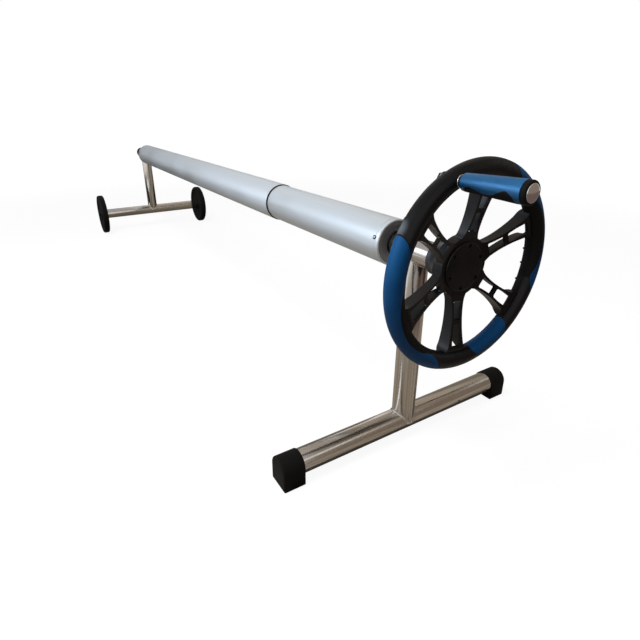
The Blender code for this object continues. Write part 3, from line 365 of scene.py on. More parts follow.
# Streaks run along each tube, so they are stretched along its axis
alongTubeX = (0.04, 1.0, 1.0)
alongTubeY = (1.0, 0.04, 1.0)
alongTubeZ = (1.0, 1.0, 0.04)
steelX = makeTubeFinish("polished steel along X", steelLook, alongTubeX)
steelY = makeTubeFinish("polished steel along Y", steelLook, alongTubeY)
steelZ = makeTubeFinish("polished steel along Z", steelLook, alongTubeZ)
aluminium = makeTubeFinish("anodised aluminium", aluminiumLook, alongTubeX)
cutAluminiumWithHighlight = makeTubeFinish("cut aluminium with painted highlight", cutEdgeHighlightLook)
chrome = makeTubeFinish("chrome", chromeLook)
boltSteel = makeTubeFinish("bolt steel", boltLook)
darkBoltAndShadeRing = makeTubeFinish("blackened screws and painted shade ring", darkBoltAndShadeRingLook)
weldSteel = makeTubeFinish("weld bead", weldLook)

plasticLook = {
    "metallic": 0.0,
    "specular": 0.26,
    "colour": (0.0032, 0.0034, 0.0042),
    "patch": (0.0048, 0.0050, 0.0058),
    "scuff": (0.030, 0.030, 0.034),
    "scuffShare": 0.25,
    "patchScale": 26.0,
    "scuffScale": 160.0,
    "grainScale": 1500.0,
    "grainDepth": 0.00005,
    "grainRough": 0.05,
    "rough": (0.22, 0.32),
}
rubberLook = dict(
    plasticLook,
    specular=0.12,
    colour=(0.0058, 0.0055, 0.0051),
    patch=(0.0085, 0.0080, 0.0074),
    scuff=(0.040, 0.038, 0.034),
    grainScale=900.0,
    grainDepth=0.00008,
    rough=(0.55, 0.70),
)
coverLook = dict(
    plasticLook,
    specular=0.20,
    colour=(0.0038, 0.0038, 0.0042),
    patch=(0.0052, 0.0052, 0.0056),
    # the colour of painted shade in the creases between the pebbles
    creaseShade=(0.0030, 0.0030, 0.0030),
    creaseShare=0.6,
    creaseRough=0.12,
    pebbleScale=820.0,
    pebbleDepth=0.00008,
    rough=(0.28, 0.38),
    # a painted sheen: a lighter spot on the rim's upper left, with its colour, middle and reach
    paintedSheen=(0.155, 0.180, 0.205),
    paintedSheenAt=(1.0135, -0.1400, 0.4510),
    paintedSheenReach=(0.004, 0.019),
)
greyLook = dict(
    plasticLook,
    specular=0.35,
    colour=(0.340, 0.340, 0.330),
    patch=(0.390, 0.388, 0.376),
    scuff=(0.30, 0.30, 0.29),
    rough=(0.45, 0.58),
)
bossLook = dict(
    plasticLook,
    specular=0.45,
    colour=(0.017, 0.020, 0.028),
    patch=(0.023, 0.026, 0.035),
    rough=(0.26, 0.36),
)
blueLook = dict(
    plasticLook,
    specular=0.16,
    colour=(0.0050, 0.0900, 0.2700),
    patch=(0.0060, 0.1040, 0.3050),
    scuff=(0.03, 0.15, 0.36),
    scuffShare=0.15,
    grainScale=2200.0,
    grainDepth=0.00003,
    grainRough=0.08,
    rough=(0.36, 0.46),
)
gripBlueLook = dict(
    blueLook,
    metallic=0.45,
    specular=0.35,
    colour=(0.0120, 0.1150, 0.2850),
    patch=(0.0160, 0.1350, 0.3250),
    scuff=(0.12, 0.34, 0.62),
    scuffShare=0.3,
    grainScale=2600.0,
    grainDepth=0.00005,
    rough=(0.26, 0.36),
    coat=0.25,
    coatRough=0.12,
)
blackPlastic = makeMouldedFinish("black moulded plastic", plasticLook)
blackRubber = makeMouldedFinish("black rubber", rubberLook)
grainedCover = makeMouldedFinish("black grained cover", coverLook)
greyPlastic = makeMouldedFinish("grey plastic", greyLook)
bossPlastic = makeMouldedFinish("dark slate plastic", bossLook)
satinBlue = makeMouldedFinish("satin blue", blueLook)
gripBlue = makeMouldedFinish("metallic blue lacquer", gripBlueLook)
print("finishes made")


# Modelling helpers

sharpAngle = math.radians(38.0)


def joinEdges(bm, points, closed):
    for first, second in zip(points, points[1:]):
        bm.edges.new((first, second))
    if closed:
        bm.edges.new((points[-1], points[0]))


def bevel(bm, geom, width, segments, affect):
    bmesh.ops.bevel(
        bm,
        geom=geom,
        offset=width,
        offset_type="OFFSET",
        segments=segments,
        profile=0.5,
        affect=affect,
        material=-1,
        clamp_overlap=affect == "EDGES",
    )


def roundCorners(bm, corners, radius, segments):
    bevel(bm, corners, radius, segments, "VERTICES")


def bevelEdges(bm, edges, width, segments):
    bevel(bm, edges, width, segments, "EDGES")


def sharpEdges(bm, angle):
    limit = math.radians(angle)
    return [e for e in bm.edges if len(e.link_faces) == 2 and e.calc_face_angle(0.0) > limit]


def edgesAt(bm, x):
    return [e for e in bm.edges if all(abs(v.co.x - x) < 1e-6 for v in e.verts)]


def spinRound(bm, steps, axis=(1.0, 0.0, 0.0)):
    bmesh.ops.spin(
        bm,
        geom=bm.verts[:] + bm.edges[:],
        cent=origin,
        axis=axis,
        angle=math.tau,
        steps=steps,
        use_merge=True,
    )
    return bm


def lathe(outline, steps=96):
    # a shape turned about X from (along, radius) points; a third value rounds that corner
    bm = bmesh.new()
    points = [bm.verts.new((p[0], 0.0, p[1])) for p in outline]
    joinEdges(bm, points, outline[0][1] > 0.0)
    rounded = {}
    for point, values in zip(points, outline):
        if len(values) > 2 and values[2] > 0.0:
            rounded.setdefault(values[2], []).append(point)
    for radius, corners in rounded.items():
        roundCorners(bm, corners, radius, 4)
    spinRound(bm, steps)
    bmesh.ops.remove_doubles(bm, verts=bm.verts, dist=1e-6)
    return bm


def wallRing(start, end, inner, outer, edges, steps=96):
    # the edges' roundings go round the wall's section from the inner edge at the start
    corners = ((start, inner), (start, outer), (end, outer), (end, inner))
    return lathe([(*corner, edge) for corner, edge in zip(corners, edges)], steps)


def roundTube(start, end, outer, inner, steps=96, edge=0.0003):
    return wallRing(start, end, inner, outer, (edge, edge, edge, edge), steps)


def drill(start, end, radius, steps):
    # a plain rod, to cut a hole with
    return lathe([(start, 0.0), (start, radius), (end, radius), (end, 0.0)], steps)


def settle(bm, place, turn=None):
    matrix = Matrix.Translation(place)
    if turn is not None:
        matrix = matrix @ turn
    bmesh.ops.transform(bm, matrix=matrix, verts=bm.verts)
    return bm


def torus(radius, section, around, across):
    bm = bmesh.new()
    bmesh.ops.create_circle(bm, segments=across, radius=section)
    return spinRound(settle(bm, (0.0, radius, 0.0)), around)


def block(size, middle, turn=None):
    bm = bmesh.new()
    bmesh.ops.create_cube(bm, size=1.0)
    bmesh.ops.scale(bm, vec=size, verts=bm.verts)
    return settle(bm, middle, turn)


def pushOut(bm, vector=origin):
    # all faces drawn out into a closed body; its new corners can be moved afterwards
    moved = bmesh.ops.extrude_face_region(bm, geom=bm.faces[:])["geom"]
    verts = [item for item in moved if isinstance(item, bmesh.types.BMVert)]
    bmesh.ops.translate(bm, verts=verts, vec=vector)
    return verts


def hexPrism(across, start, end, chamfer):
    bm = bmesh.new()
    facing = Matrix.Translation((start, 0.0, 0.0)) @ Matrix.Rotation(math.pi / 2, 4, "Y")
    radius = across / math.sqrt(3.0)
    bmesh.ops.create_circle(bm, cap_ends=True, segments=6, radius=radius, matrix=facing)
    pushOut(bm, (end - start, 0.0, 0.0))
    bevelEdges(bm, bm.edges[:], chamfer, 2)
    return bm


def gather(target, part):
    mesh = bpy.data.meshes.new("part")
    part.to_mesh(mesh)
    part.free()
    target.from_mesh(mesh)
    bpy.data.meshes.remove(mesh)


def meshFrom(bm, name):
    bmesh.ops.recalc_face_normals(bm, faces=bm.faces)
    mesh = bpy.data.meshes.new(name)
    bm.to_mesh(mesh)
    bm.free()
    return mesh


def smoothFaces(mesh):
    mesh.shade_smooth()
    mesh.set_sharp_from_angle(angle=sharpAngle)


def addPiece(name, bm, body, finish, replaced=()):
    bmesh.ops.remove_doubles(bm, verts=bm.verts, dist=1e-6)
    mesh = meshFrom(bm, name)
    smoothFaces(mesh)
    mesh.materials.append(finish)
    piece = bpy.data.objects.new(name, mesh)
    scene.collection.objects.link(piece)
    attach(piece, body)
    if replaced:
        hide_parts(*replaced)
    return piece


def refine(node, bm, body, finish):
    # the finer form of the CAD node with this name
    return addPiece(f"{node}_fine", bm, body, finish, [node])


def carve(piece, bm, operation="DIFFERENCE"):
    # a cut or a join with a shape that is only there while it works
    mesh = meshFrom(bm, "carving")
    tool = bpy.data.objects.new("carving", mesh)
    scene.collection.objects.link(tool)
    modifier = piece.modifiers.new("carve", "BOOLEAN")
    modifier.operation = operation
    modifier.object = tool
    graph = bpy.context.evaluated_depsgraph_get()
    carved = bpy.data.meshes.new_from_object(piece.evaluated_get(graph))
    piece.modifiers.clear()
    old = piece.data
    piece.data = carved
    bpy.data.meshes.remove(old)
    carved.name = piece.name
    bpy.data.objects.remove(tool)
    bpy.data.meshes.remove(mesh)
    smoothFaces(carved)


def softenEdges(piece, width):
    modifier = piece.modifiers.new("soft edges", "BEVEL")
    modifier.width = width
    modifier.segments = 3
    modifier.limit_method = "ANGLE"
    modifier.angle_limit = sharpAngle
    modifier.harden_normals = False


# Stands

stands = {
    "nearBarHeight": 0.033,
    "nearBarLength": 0.524,
    "farBarHeight": 0.0915,
    "farBarLength": 0.457,
    "holeY": 0.133,
    "holeRadius": 0.0022,
    "weld": 0.0021,
    "weldSteps": 276,
    "weldRipples": 46,
    "rippleDepth": 0.10,
    "weldWaves": 5,
    "waveDepth": 0.08,
    "bushDepth": 0.018,
    "flange": 0.0020,
    "flangeRadius": 0.0235,
    "recess": 0.0008,
    "recessRadius": 0.0150,
}


def copedUpright(node, body, standX, height):
    post = roundTube(height, axisHeight, tubeRadius, tubeBore)
    settle(post, (standX, 0.0, 0.0), upwards)
    cope = tubeRadius + gap
    middle = (height + axisHeight) / 2
    for vert in post.verts:
        x, y = vert.co.x - standX, vert.co.y
        if vert.co.z > middle:
            vert.co.z -= math.sqrt(max(cope**2 - y**2, 0.0))
        else:
            vert.co.z += math.sqrt(max(cope**2 - x**2, 0.0))
    refine(node, post, body, steelZ)


def weldBead(name, body, standX, height, upper):
    # a rippled ring laid along the coped joint
    ring = tubeRadius + stands["weld"] * 0.25
    bead = bmesh.new()
    bmesh.ops.create_circle(bead, segments=12, radius=stands["weld"])
    settle(bead, (ring, 0.0, 0.0), Matrix.Rotation(math.pi / 2, 4, "X"))
    spinRound(bead, stands["weldSteps"], (0.0, 0.0, 1.0))
    for vert in bead.verts:
        x, y, z = vert.co
        angle = math.atan2(y, x)
        ripple = stands["rippleDepth"] * math.sin(stands["weldRipples"] * angle)
        ripple += stands["waveDepth"] * math.sin(stands["weldWaves"] * angle + 1.0)
        across = y if upper else x
        drop = math.sqrt(max((tubeRadius + 0.0004) ** 2 - across**2, 0.0))
        reach = math.hypot(x, y) - ring
        scale = (ring + reach * (1 + ripple)) / math.hypot(x, y)
        vert.co.x, vert.co.y = x * scale + standX, y * scale
        vert.co.z = height + z * (1 + ripple) + (-drop if upper else drop)
    addPiece(name, bead, body, weldSteel)


def flangedBush(node, body, end, towards):
    depth, flange = stands["bushDepth"], stands["flangeRadius"]
    face = gap + stands["flange"]
    floor = face - stands["recess"]
    bush = lathe([
        (-depth, shaftBore),
        (-depth, tubeBore - gap),
        (gap, tubeBore - gap),
        (gap, flange, 0.0004),
        (face, flange, 0.0008),
        (face, stands["recessRadius"], 0.0005),
        (floor, stands["recessRadius"] - 0.0010, 0.0003),
        (floor, shaftBore),
    ])
    settle(bush, (end, 0.0, axisHeight), alongRoller[towards])
    refine(node, bush, body, blackPlastic)


def buildStand(prefix, standX, rollerSide):
    body = f"{prefix}_stand"
    height = stands[f"{prefix}BarHeight"]
    length = stands[f"{prefix}BarLength"]
    bar = roundTube(-length / 2, length / 2, tubeRadius, tubeBore)
    settle(bar, (standX, 0.0, height), alongWidth[1])
    bar = refine(f"{prefix}_foot_bar", bar, body, steelY)
    copedUpright(f"{prefix}_upright", body, standX, height)
    weldBead(f"{prefix}_weld_top", body, standX, axisHeight, True)
    weldBead(f"{prefix}_weld_foot", body, standX, height, False)
    low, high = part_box(f"{prefix}_head_tube")
    barrel = roundTube(low.x, high.x, tubeRadius, tubeBore, 128, 0.0004)
    refine(f"{prefix}_head_tube", settle(barrel, onAxis), body, steelX)
    ends = {1: high.x, -1: low.x}
    for side, towards in (("roller_side", rollerSide), ("outer_side", -rollerSide)):
        flangedBush(f"{prefix}_bush_{side}", body, ends[towards], towards)
    return bar


nearBar = buildStand("near", nearX, -1)
hole = drill(0.0, 0.05, stands["holeRadius"], 24)
carve(nearBar, settle(hole, (nearX, stands["holeY"], stands["nearBarHeight"])))
buildStand("far", farX, 1)
print("stands built")


# Rubber feet, D-shaped shoes on the near foot bar

shoe = {
    "radius": 0.0235,
    "length": 0.0405,
    "endWall": 0.010,
    "endRounding": 0.0035,
    "mouthRounding": 0.0012,
    "cornerRounding": 0.0030,
    "lip": 0.0009,
    "lipOutside": 0.0002,
    "lipInside": 0.0016,
}


def rubberFoot(node, side):
    height = stands["nearBarHeight"]
    outer = stands["nearBarLength"] / 2 + gap + shoe["endWall"]
    inner = outer - shoe["length"]
    bm = bmesh.new()
    top = bm.verts.new((inner, shoe["radius"], height))
    bmesh.ops.spin(
        bm,
        geom=[top],
        cent=(inner, 0.0, height),
        axis=(1.0, 0.0, 0.0),
        angle=math.pi,
        steps=40,
    )
    bm.verts.ensure_lookup_table()
    ends = sorted((v for v in bm.verts if len(v.link_edges) == 1), key=lambda v: v.co.y)
    corners = [bm.verts.new((inner, v.co.y, 0.0)) for v in ends]
    joinEdges(bm, [ends[0], corners[0], corners[1], ends[1]], False)
    roundCorners(bm, corners, shoe["cornerRounding"], 4)
    bmesh.ops.contextual_create(bm, geom=bm.edges[:])
    pushOut(bm, (outer - inner, 0.0, 0.0))
    bmesh.ops.recalc_face_normals(bm, faces=bm.faces)
    bevelEdges(bm, edgesAt(bm, outer), shoe["endRounding"], 5)
    bevelEdges(bm, edgesAt(bm, inner), shoe["mouthRounding"], 3)
    settle(bm, (nearX, 0.0, 0.0), alongWidth[side])
    foot = refine(node, bm, "near_stand", blackRubber)
    mouth = tubeRadius + gap
    socket = drill(0.0, outer - shoe["endWall"], mouth, 96)
    carve(foot, settle(socket, (nearX, 0.0, height), alongWidth[side]))
    # a raised lip round the mouth of the socket
    lipStart, lipEnd = inner - shoe["lipOutside"], inner + shoe["lipInside"]
    lip = wallRing(lipStart, lipEnd, mouth, mouth + shoe["lip"], (0.0003, 0.0003, 0.0, 0.0))
    settle(lip, (nearX, 0.0, height), alongWidth[side])
    addPiece(f"{node}_fine_lip", lip, "near_stand", blackRubber)


rubberFoot("rubber_foot_left", -1)
rubberFoot("rubber_foot_right", 1)
print("rubber feet built")


# Transport wheels, their plugs and axle bolts

transport = {
    "radius": 0.0915,
    "width": 0.026,
    "shoulder": 0.0065,
    "lip": 0.0755,
    "lipRounding": 0.0010,
    "dish": 0.005,
    "dishRounding": 0.0020,
    "hub": 0.024,
    "bore": 0.0053,
    "plugDepth": 0.030,
    "plugFlange": 0.0025,
    "boltAcross": 0.017,
    "boltHead": 0.0064,
    "shank": 0.0050,
    "shankDepth": 0.026,
}


def transportWheel(side, name):
    turn = alongWidth[side]
    axle = (farX, 0.0, transport["radius"])
    low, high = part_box(f"transport_wheel_{name}")
    inner = min(abs(low.y), abs(high.y))
    outer = inner + transport["width"]
    tread, shoulder, bore = transport["radius"], transport["shoulder"], transport["bore"]
    dish, lip, hub = transport["dish"], transport["lip"], transport["hub"]
    soft, softDish = transport["lipRounding"], transport["dishRounding"]
    tyre = lathe([
        (inner, bore),
        (inner, hub, soft),
        (inner + dish, hub + dish, softDish),
        (inner + dish, lip - dish, softDish),
        (inner, lip, soft),
        (inner, tread, shoulder),
        (outer, tread, shoulder),
        (outer, lip, soft),
        (outer - dish, lip - dish, softDish),
        (outer - dish, hub + dish, softDish),
        (outer, hub, soft),
        (outer, bore),
    ], 128)
    settle(tyre, axle, turn)
    refine(f"transport_wheel_{name}", tyre, f"wheel_{name}", blackRubber)

    tubeEnd = stands["farBarLength"] / 2
    flange = tubeEnd + gap
    plug = lathe([
        (tubeEnd - transport["plugDepth"], bore),
        (tubeEnd - transport["plugDepth"], tubeBore - gap),
        (flange, tubeBore - gap),
        (flange, tubeRadius, 0.0004),
        (flange + transport["plugFlange"], tubeRadius, 0.0010),
        (flange + transport["plugFlange"], bore),
    ])
    settle(plug, axle, turn)
    refine(f"axle_plug_{name}", plug, "far_stand", blackPlastic)

    headStart = outer + 0.0005
    bolt = hexPrism(transport["boltAcross"], headStart, headStart + transport["boltHead"], 0.0008)
    shank = lathe([
        (tubeEnd - transport["shankDepth"], 0.0),
        (tubeEnd - transport["shankDepth"], transport["shank"], 0.0006),
        (headStart + 0.002, transport["shank"]),
        (headStart + 0.002, 0.0),
    ], 32)
    gather(bolt, shank)
    settle(bolt, axle, turn)
    refine(f"axle_bolt_{name}", bolt, "far_stand", darkBoltAndShadeRing)


transportWheel(-1, "left")
transportWheel(1, "right")
print("transport wheels built")


# Rollers, with their end caps and screws

roller = {
    "near": {"radius": 0.042, "wall": 0.0015, "towards": 1},
    "far": {"radius": 0.0442, "wall": 0.0012, "towards": -1},
    "groove": 0.0078,
    "grooveHalf": 0.0007,
    "grooveFloorHalf": 0.0004,
    "grooveDepth": 0.0005,
    "cutInside": 0.0032,
    "cutOutside": 0.0004,
    "cutProud": 0.0009,
    "capRecess": 0.0015,
    "capDepth": 0.040,
    "capWall": 0.0035,
    "capFace": 0.005,
    "capHub": 0.020,
    "ribs": 4,
    "rib": 0.003,
    "ribInside": 0.0185,
    "screwInset": 0.010,
    "screwAngle": 161.0,
    "screwHead": 0.0023,
    "screwShank": 0.0018,
    "screwDepth": 0.0075,
    "screwRing": 0.0037,
    "screwSlot": (0.0018, 0.0022, 0.0006),
    "bushDepth": 0.025,
    "bushLip": 0.0048,
    "shaftCapWall": 0.003,
    "shaftCapBore": 0.0173,
    "shaftCapNeck": 0.0285,
}
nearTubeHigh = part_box("near_roller_tube")[1]
farTubeLow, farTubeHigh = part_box("far_roller_tube")
outerEnd = {"near": nearTubeHigh.x, "far": farTubeLow.x}


def rollerTube(prefix):
    low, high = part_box(f"{prefix}_roller_tube")
    outer = roller[prefix]["radius"]
    inner = outer - roller[prefix]["wall"]
    x = outerEnd[prefix] - roller[prefix]["towards"] * roller["groove"]
    floor = outer - roller["grooveDepth"]
    tube = lathe([
        (low.x, inner, 0.0002),
        (low.x, outer, 0.0004),
        (x - roller["grooveHalf"], outer),
        (x - roller["grooveFloorHalf"], floor),
        (x + roller["grooveFloorHalf"], floor),
        (x + roller["grooveHalf"], outer),
        (high.x, outer, 0.0004),
        (high.x, inner, 0.0002),
    ], 160)
    body = f"{prefix}_roller"
    refine(f"{prefix}_roller_tube", settle(tube, onAxis), body, aluminium)


def endCap(prefix):
    towards = roller[prefix]["towards"]
    face = outerEnd[prefix] - towards * roller["capRecess"]
    rim = roller[prefix]["radius"] - roller[prefix]["wall"] - gap
    inside = rim - roller["capWall"]
    depth, hubRadius = roller["capDepth"], roller["capHub"]
    cap = lathe([
        (-0.0006, shaftBore, 0.0004),
        (-0.0006, 0.0230, 0.0004),
        (-0.0012, 0.0238, 0.0003),
        (-0.0012, 0.0300, 0.0003),
        (0.0, 0.0312, 0.0006),
        (0.0, rim, 0.0010),
        (-depth, rim, 0.0010),
        (-depth, inside, 0.0010),
        (-roller["capFace"], inside, 0.0020),
        (-roller["capFace"], hubRadius, 0.0020),
        (-depth, hubRadius, 0.0010),
        (-depth, shaftBore),
    ], 128)
    # the ribs sink a little into hub, wall and face
    low, high = roller["ribInside"], inside + 0.0015
    back, front = 0.003 - depth, -0.0035
    for k in range(roller["ribs"]):
        middle = ((back + front) / 2, (low + high) / 2, 0.0)
        rib = block((front - back, high - low, roller["rib"]), middle)
        gather(cap, settle(rib, origin, aboutX(90 * k + 45)))
    settle(cap, (face, 0.0, axisHeight), alongRoller[towards])
    refine(f"{prefix}_end_cap", cap, f"{prefix}_roller", greyPlastic)


def cutEnd(prefix):
    outer = roller[prefix]["radius"]
    inside, outside = outer - roller["cutInside"], outer - roller["cutOutside"]
    # the bright ring of the cut end is partly bare metal and partly a painted highlight
    ring = wallRing(gap, gap + roller["cutProud"], inside, outside, (0.0002, 0.0001, 0.0003, 0.0002), 160)
    settle(ring, (outerEnd[prefix], 0.0, axisHeight), alongRoller[roller[prefix]["towards"]])
    addPiece(f"{prefix}_tube_cut_end", ring, f"{prefix}_roller", cutAluminiumWithHighlight)


def capScrew(prefix, letter, extra):
    node = f"{prefix}_cap_screw_{letter}"
    body = f"{prefix}_roller"
    place = (outerEnd[prefix] - roller[prefix]["towards"] * roller["screwInset"], 0.0, axisHeight)
    turn = aboutX(roller["screwAngle"] + extra) @ alongWidth[1]
    seat = roller[prefix]["radius"] + gap
    head, shank = roller["screwHead"], roller["screwShank"]
    # painted shade: a dark ring under the screw head stands in for the shadow round it
    ring = wallRing(seat, seat + 0.0008, head, roller["screwRing"], (0.0, 0.0002, 0.0003, 0.0002), 40)
    addPiece(f"{node}_painted_shade_ring", settle(ring, place, turn), body, darkBoltAndShadeRing)
    screw = lathe([
        (seat - roller["screwDepth"], 0.0),
        (seat - roller["screwDepth"], shank),
        (seat, shank),
        (seat, head, 0.0002),
        (seat + 0.0013, head, 0.0006),
        (seat + 0.0019, head - 0.0010, 0.0005),
        (seat + 0.0020, 0.0),
    ], 40)
    screw = refine(node, settle(screw, place, turn), body, chrome)
    for k in range(2):
        slot = block(roller["screwSlot"], origin)
        settle(slot, (seat + 0.0021, 0.0, 0.0), aboutX(90 * k + 20))
        carve(screw, settle(slot, place, turn))


def slideBush():
    end = farTubeHigh.x + gap
    back = end - gap - roller["bushDepth"]
    inner = roller["near"]["radius"] + gap
    sleeve = roller["far"]["radius"] - roller["far"]["wall"] - gap / 2
    bush = lathe([
        (back, inner, 0.0002),
        (back, sleeve, 0.0002),
        (end, sleeve),
        (end, sleeve + 0.0006, 0.0002),
        (end + roller["bushLip"], sleeve + 0.0006, 0.0005),
        (end + roller["bushLip"], inner, 0.0002),
    ], 160)
    refine("slide_bush", settle(bush, onAxis), "far_roller", blackRubber)


def shaftCap():
    low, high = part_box("far_shaft_cap")
    floor = low.x + roller["shaftCapWall"]
    neck = high.x - roller["shaftCapNeck"]
    cap = lathe([
        (high.x, shaftBore),
        (high.x, stands["flangeRadius"], 0.0008),
        (low.x, stands["flangeRadius"], 0.0040),
        (low.x, 0.0),
        (floor, 0.0),
        (floor, roller["shaftCapBore"], 0.0010),
        (neck, roller["shaftCapBore"]),
        (neck, shaftBore),
    ])
    refine("far_shaft_cap", settle(cap, onAxis), "far_roller", blackPlastic)


for build in (rollerTube, endCap, cutEnd):
    build("near")
    build("far")
for letter, extra in (("a", 0.0), ("b", 180.0)):
    capScrew("near", letter, extra)
    capScrew("far", letter, extra)
slideBush()
shaftCap()
print("rollers built")


# Hand wheel

wheel = {
    "rimCentre": 0.14575,
    "section": 0.01425,
    "core": 0.0065,
    "spokes": 6,
    "firstSpoke": 21.6,
    "spokeTurn": 1.5,
    "bar": 0.0040,
    "windowHalf": 0.0088,
    "plate": 0.0045,
    "wall": 0.0024,
    "rootRadius": 0.040,
    "rootEdge": 0.043,
    "rootFilletEnd": 0.056,
    "rootFilletLength": 0.012,
    "rootFillet": 0.0022,
    "waistRadius": 0.077,
    "tipFilletStart": 0.117,
    "tipFilletLength": 0.0150,
    "tipFillet": 0.0040,
    "tipRadius": 0.128,
    "widestRadius": 0.138,
    "endRadius": 0.143,
    "rootHalf": 0.015,
    "waistHalf": 0.0111,
    "tipHalf": 0.018,
    "rootFront": -0.0125,
    "tipFront": 0.005,
    "endFaces": (0.004, -0.004),
    "hubDepth": 0.018,
    "rootDepth": 0.014,
    "tipDepth": 0.022,
    "hollowStart": 0.0475,
    "innerWindow": (0.0530, 0.0825, 0.0022, 0.0022),  # from, to, corner radii
    "outerWindow": (0.0885, 0.1240, 0.0034, 0.0030),
    "hubRadius": 0.0465,
    "hubStep": (0.010, 0.020),  # depth, radius
    "edge": 0.0008,
}


def clamp(value):
    return max(0.0, min(1.0, value))


def spokeHalfWidth(radius):
    waist, waistHalf = wheel["waistRadius"], wheel["waistHalf"]
    if radius < waist:
        share = (waist - radius) / (waist - wheel["rootEdge"])
        nearRoot = clamp((wheel["rootFilletEnd"] - radius) / wheel["rootFilletLength"])
        return waistHalf + (wheel["rootHalf"] - waistHalf) * share**2 + nearRoot**2 * wheel["rootFillet"]
    share = (min(radius, wheel["widestRadius"]) - waist) / (wheel["tipRadius"] - waist)
    nearTip = clamp((radius - wheel["tipFilletStart"]) / wheel["tipFilletLength"])
    return waistHalf + (wheel["tipHalf"] - waistHalf) * share**2 + nearTip**3 * wheel["tipFillet"]


def spokeFaces(radius):
    # how far forward the front and the back of a spoke lie
    root, tip, tipFront = wheel["rootEdge"], wheel["tipRadius"], wheel["tipFront"]
    if radius > tip:
        share = (radius - tip) / (wheel["endRadius"] - tip)
        back = tipFront - wheel["tipDepth"]
        endFront, endBack = wheel["endFaces"]
        return tipFront + (endFront - tipFront) * share, back + (endBack - back) * share
    share = (radius - root) / (tip - root)
    front = wheel["rootFront"] + (tipFront - wheel["rootFront"]) * share
    return front, front - wheel["rootDepth"] - (wheel["tipDepth"] - wheel["rootDepth"]) * clamp(share)


def gridOver(rows, columns, spotAt):
    # a flat grid laid over any surface: spotAt turns two shares into a point
    bm = bmesh.new()
    bmesh.ops.create_grid(bm, x_segments=rows, y_segments=columns, size=1.0)
    for vert in bm.verts:
        vert.co = spotAt((vert.co.x + 1) / 2, (vert.co.y + 1) / 2)
    return bm


def spokeGrid(rows, columns, start, end, halfAt, frontAt):
    # a grid along a spoke, as wide as halfAt says and as far forward as frontAt says
    def spotAt(u, v):
        radius = start + (end - start) * u
        return Vector((frontAt(radius), radius, (2 * v - 1) * halfAt(radius)))

    return gridOver(rows, columns, spotAt)


def spokeBody():
    start, end = wheel["rootRadius"], wheel["endRadius"]
    spoke = spokeGrid(44, 2, start, end, spokeHalfWidth, lambda r: spokeFaces(r)[0])
    for vert in pushOut(spoke):
        vert.co.x = spokeFaces(vert.co.y)[1]
    return spoke


def windowCutter(start, end, startRounding, endRounding):
    halfAt = lambda r: min(spokeHalfWidth(r) - wheel["bar"], wheel["windowHalf"])
    window = spokeGrid(12, 1, start, end, halfAt, lambda r: 0.03)
    bmesh.ops.dissolve_faces(window, faces=window.faces[:])
    for radius, rounding in ((start, startRounding), (end, endRounding)):
        corners = [v for v in window.verts if abs(v.co.y - radius) < 1e-5]
        roundCorners(window, corners, rounding, 6)
    pushOut(window, (-0.08, 0.0, 0.0))
    return window


def hollowCutter():
    # opens the spoke from behind
    halfAt = lambda r: spokeHalfWidth(r) - wheel["wall"]
    frontAt = lambda r: spokeFaces(r)[0] - wheel["plate"]
    hollow = spokeGrid(24, 1, wheel["hollowStart"], wheel["endRadius"] - 0.001, halfAt, frontAt)
    pushOut(hollow, (-0.05, 0.0, 0.0))
    return hollow


def buildSpider():
    front = wheel["rootFront"]
    stepDepth, stepRadius = wheel["hubStep"]
    disc = lathe([
        (front - stepDepth, shaftBore),
        (front - stepDepth, stepRadius),
        (front, stepRadius),
        (front, wheel["hubRadius"]),
        (front - wheel["hubDepth"], wheel["hubRadius"]),
        (front - wheel["hubDepth"], shaftBore),
    ])
    spider = refine("wheel_spider", disc, "near_roller", blackPlastic)
    spoke = addPiece("spoke", spokeBody(), "near_roller", blackPlastic)
    carve(spoke, windowCutter(*wheel["innerWindow"]))
    carve(spoke, windowCutter(*wheel["outerWindow"]))
    carve(spoke, hollowCutter())
    for k in range(wheel["spokes"]):
        copy = bmesh.new()
        copy.from_mesh(spoke.data)
        angle = wheel["firstSpoke"] + wheel["spokeTurn"] + 360 * k / wheel["spokes"]
        carve(spider, settle(copy, origin, aboutX(angle)), "UNION")
    bpy.data.meshes.remove(spoke.data)
    whole = bmesh.new()
    whole.from_mesh(spider.data)
    gather(whole, torus(wheel["rimCentre"], wheel["core"], 96, 12))
    settle(whole, wheelMiddle)
    whole.to_mesh(spider.data)
    whole.free()
    spider.data.set_sharp_from_angle(angle=sharpAngle)
    softenEdges(spider, wheel["edge"])


buildSpider()
print("spider built")


# Rim: a grained cover, with blue sleeves, thumb rests and pads let into it

rimColours = {
    # angles round the wheel in degrees
    "mirror": 111.4,  # both sides of this line are alike
    "sleeveStart": 153.4,
    "sleeveEnd": 250.5,
    "seam": 0.7,
    "restMiddle": 205.5,
    "restReach": 25.5,
    "restSpan": (173.0, 238.0),
    "nubs": (219.5, 229.5, 241.0),
    "padStart": 276.3,
    "padNose": 286.0,
    "padTail": 301.0,
    "padEnd": 311.6,
    "ridgeSpan": (144.4, 145.6),
    # angles round the section in degrees, from the outermost line
    "sleeveHalf": 110.0,
    "restNarrow": 76.0,
    "restWider": 38.0,
    "restHalf": 176.0,
    "nubAcross": 234.0,
    "padHalf": 92.0,
    "ridgeHalf": 26.0,
    "ridgeMiddle": -36.0,
    # lengths
    "proud": 0.00012,
    "restProud": 0.00010,
    "seamProud": 0.00004,
    "ridge": 0.0007,
    "skin": 0.0020,
    "rounding": 0.0005,
    "nub": (0.0020, 0.0020, 0.0016),
    # each pad's turn round the wheel, share of the full width, and middle round the section
    "pads": {"bottom": (0.0, 1.0, 180.0), "top": (-182.4, 0.7, 196.0)},
}


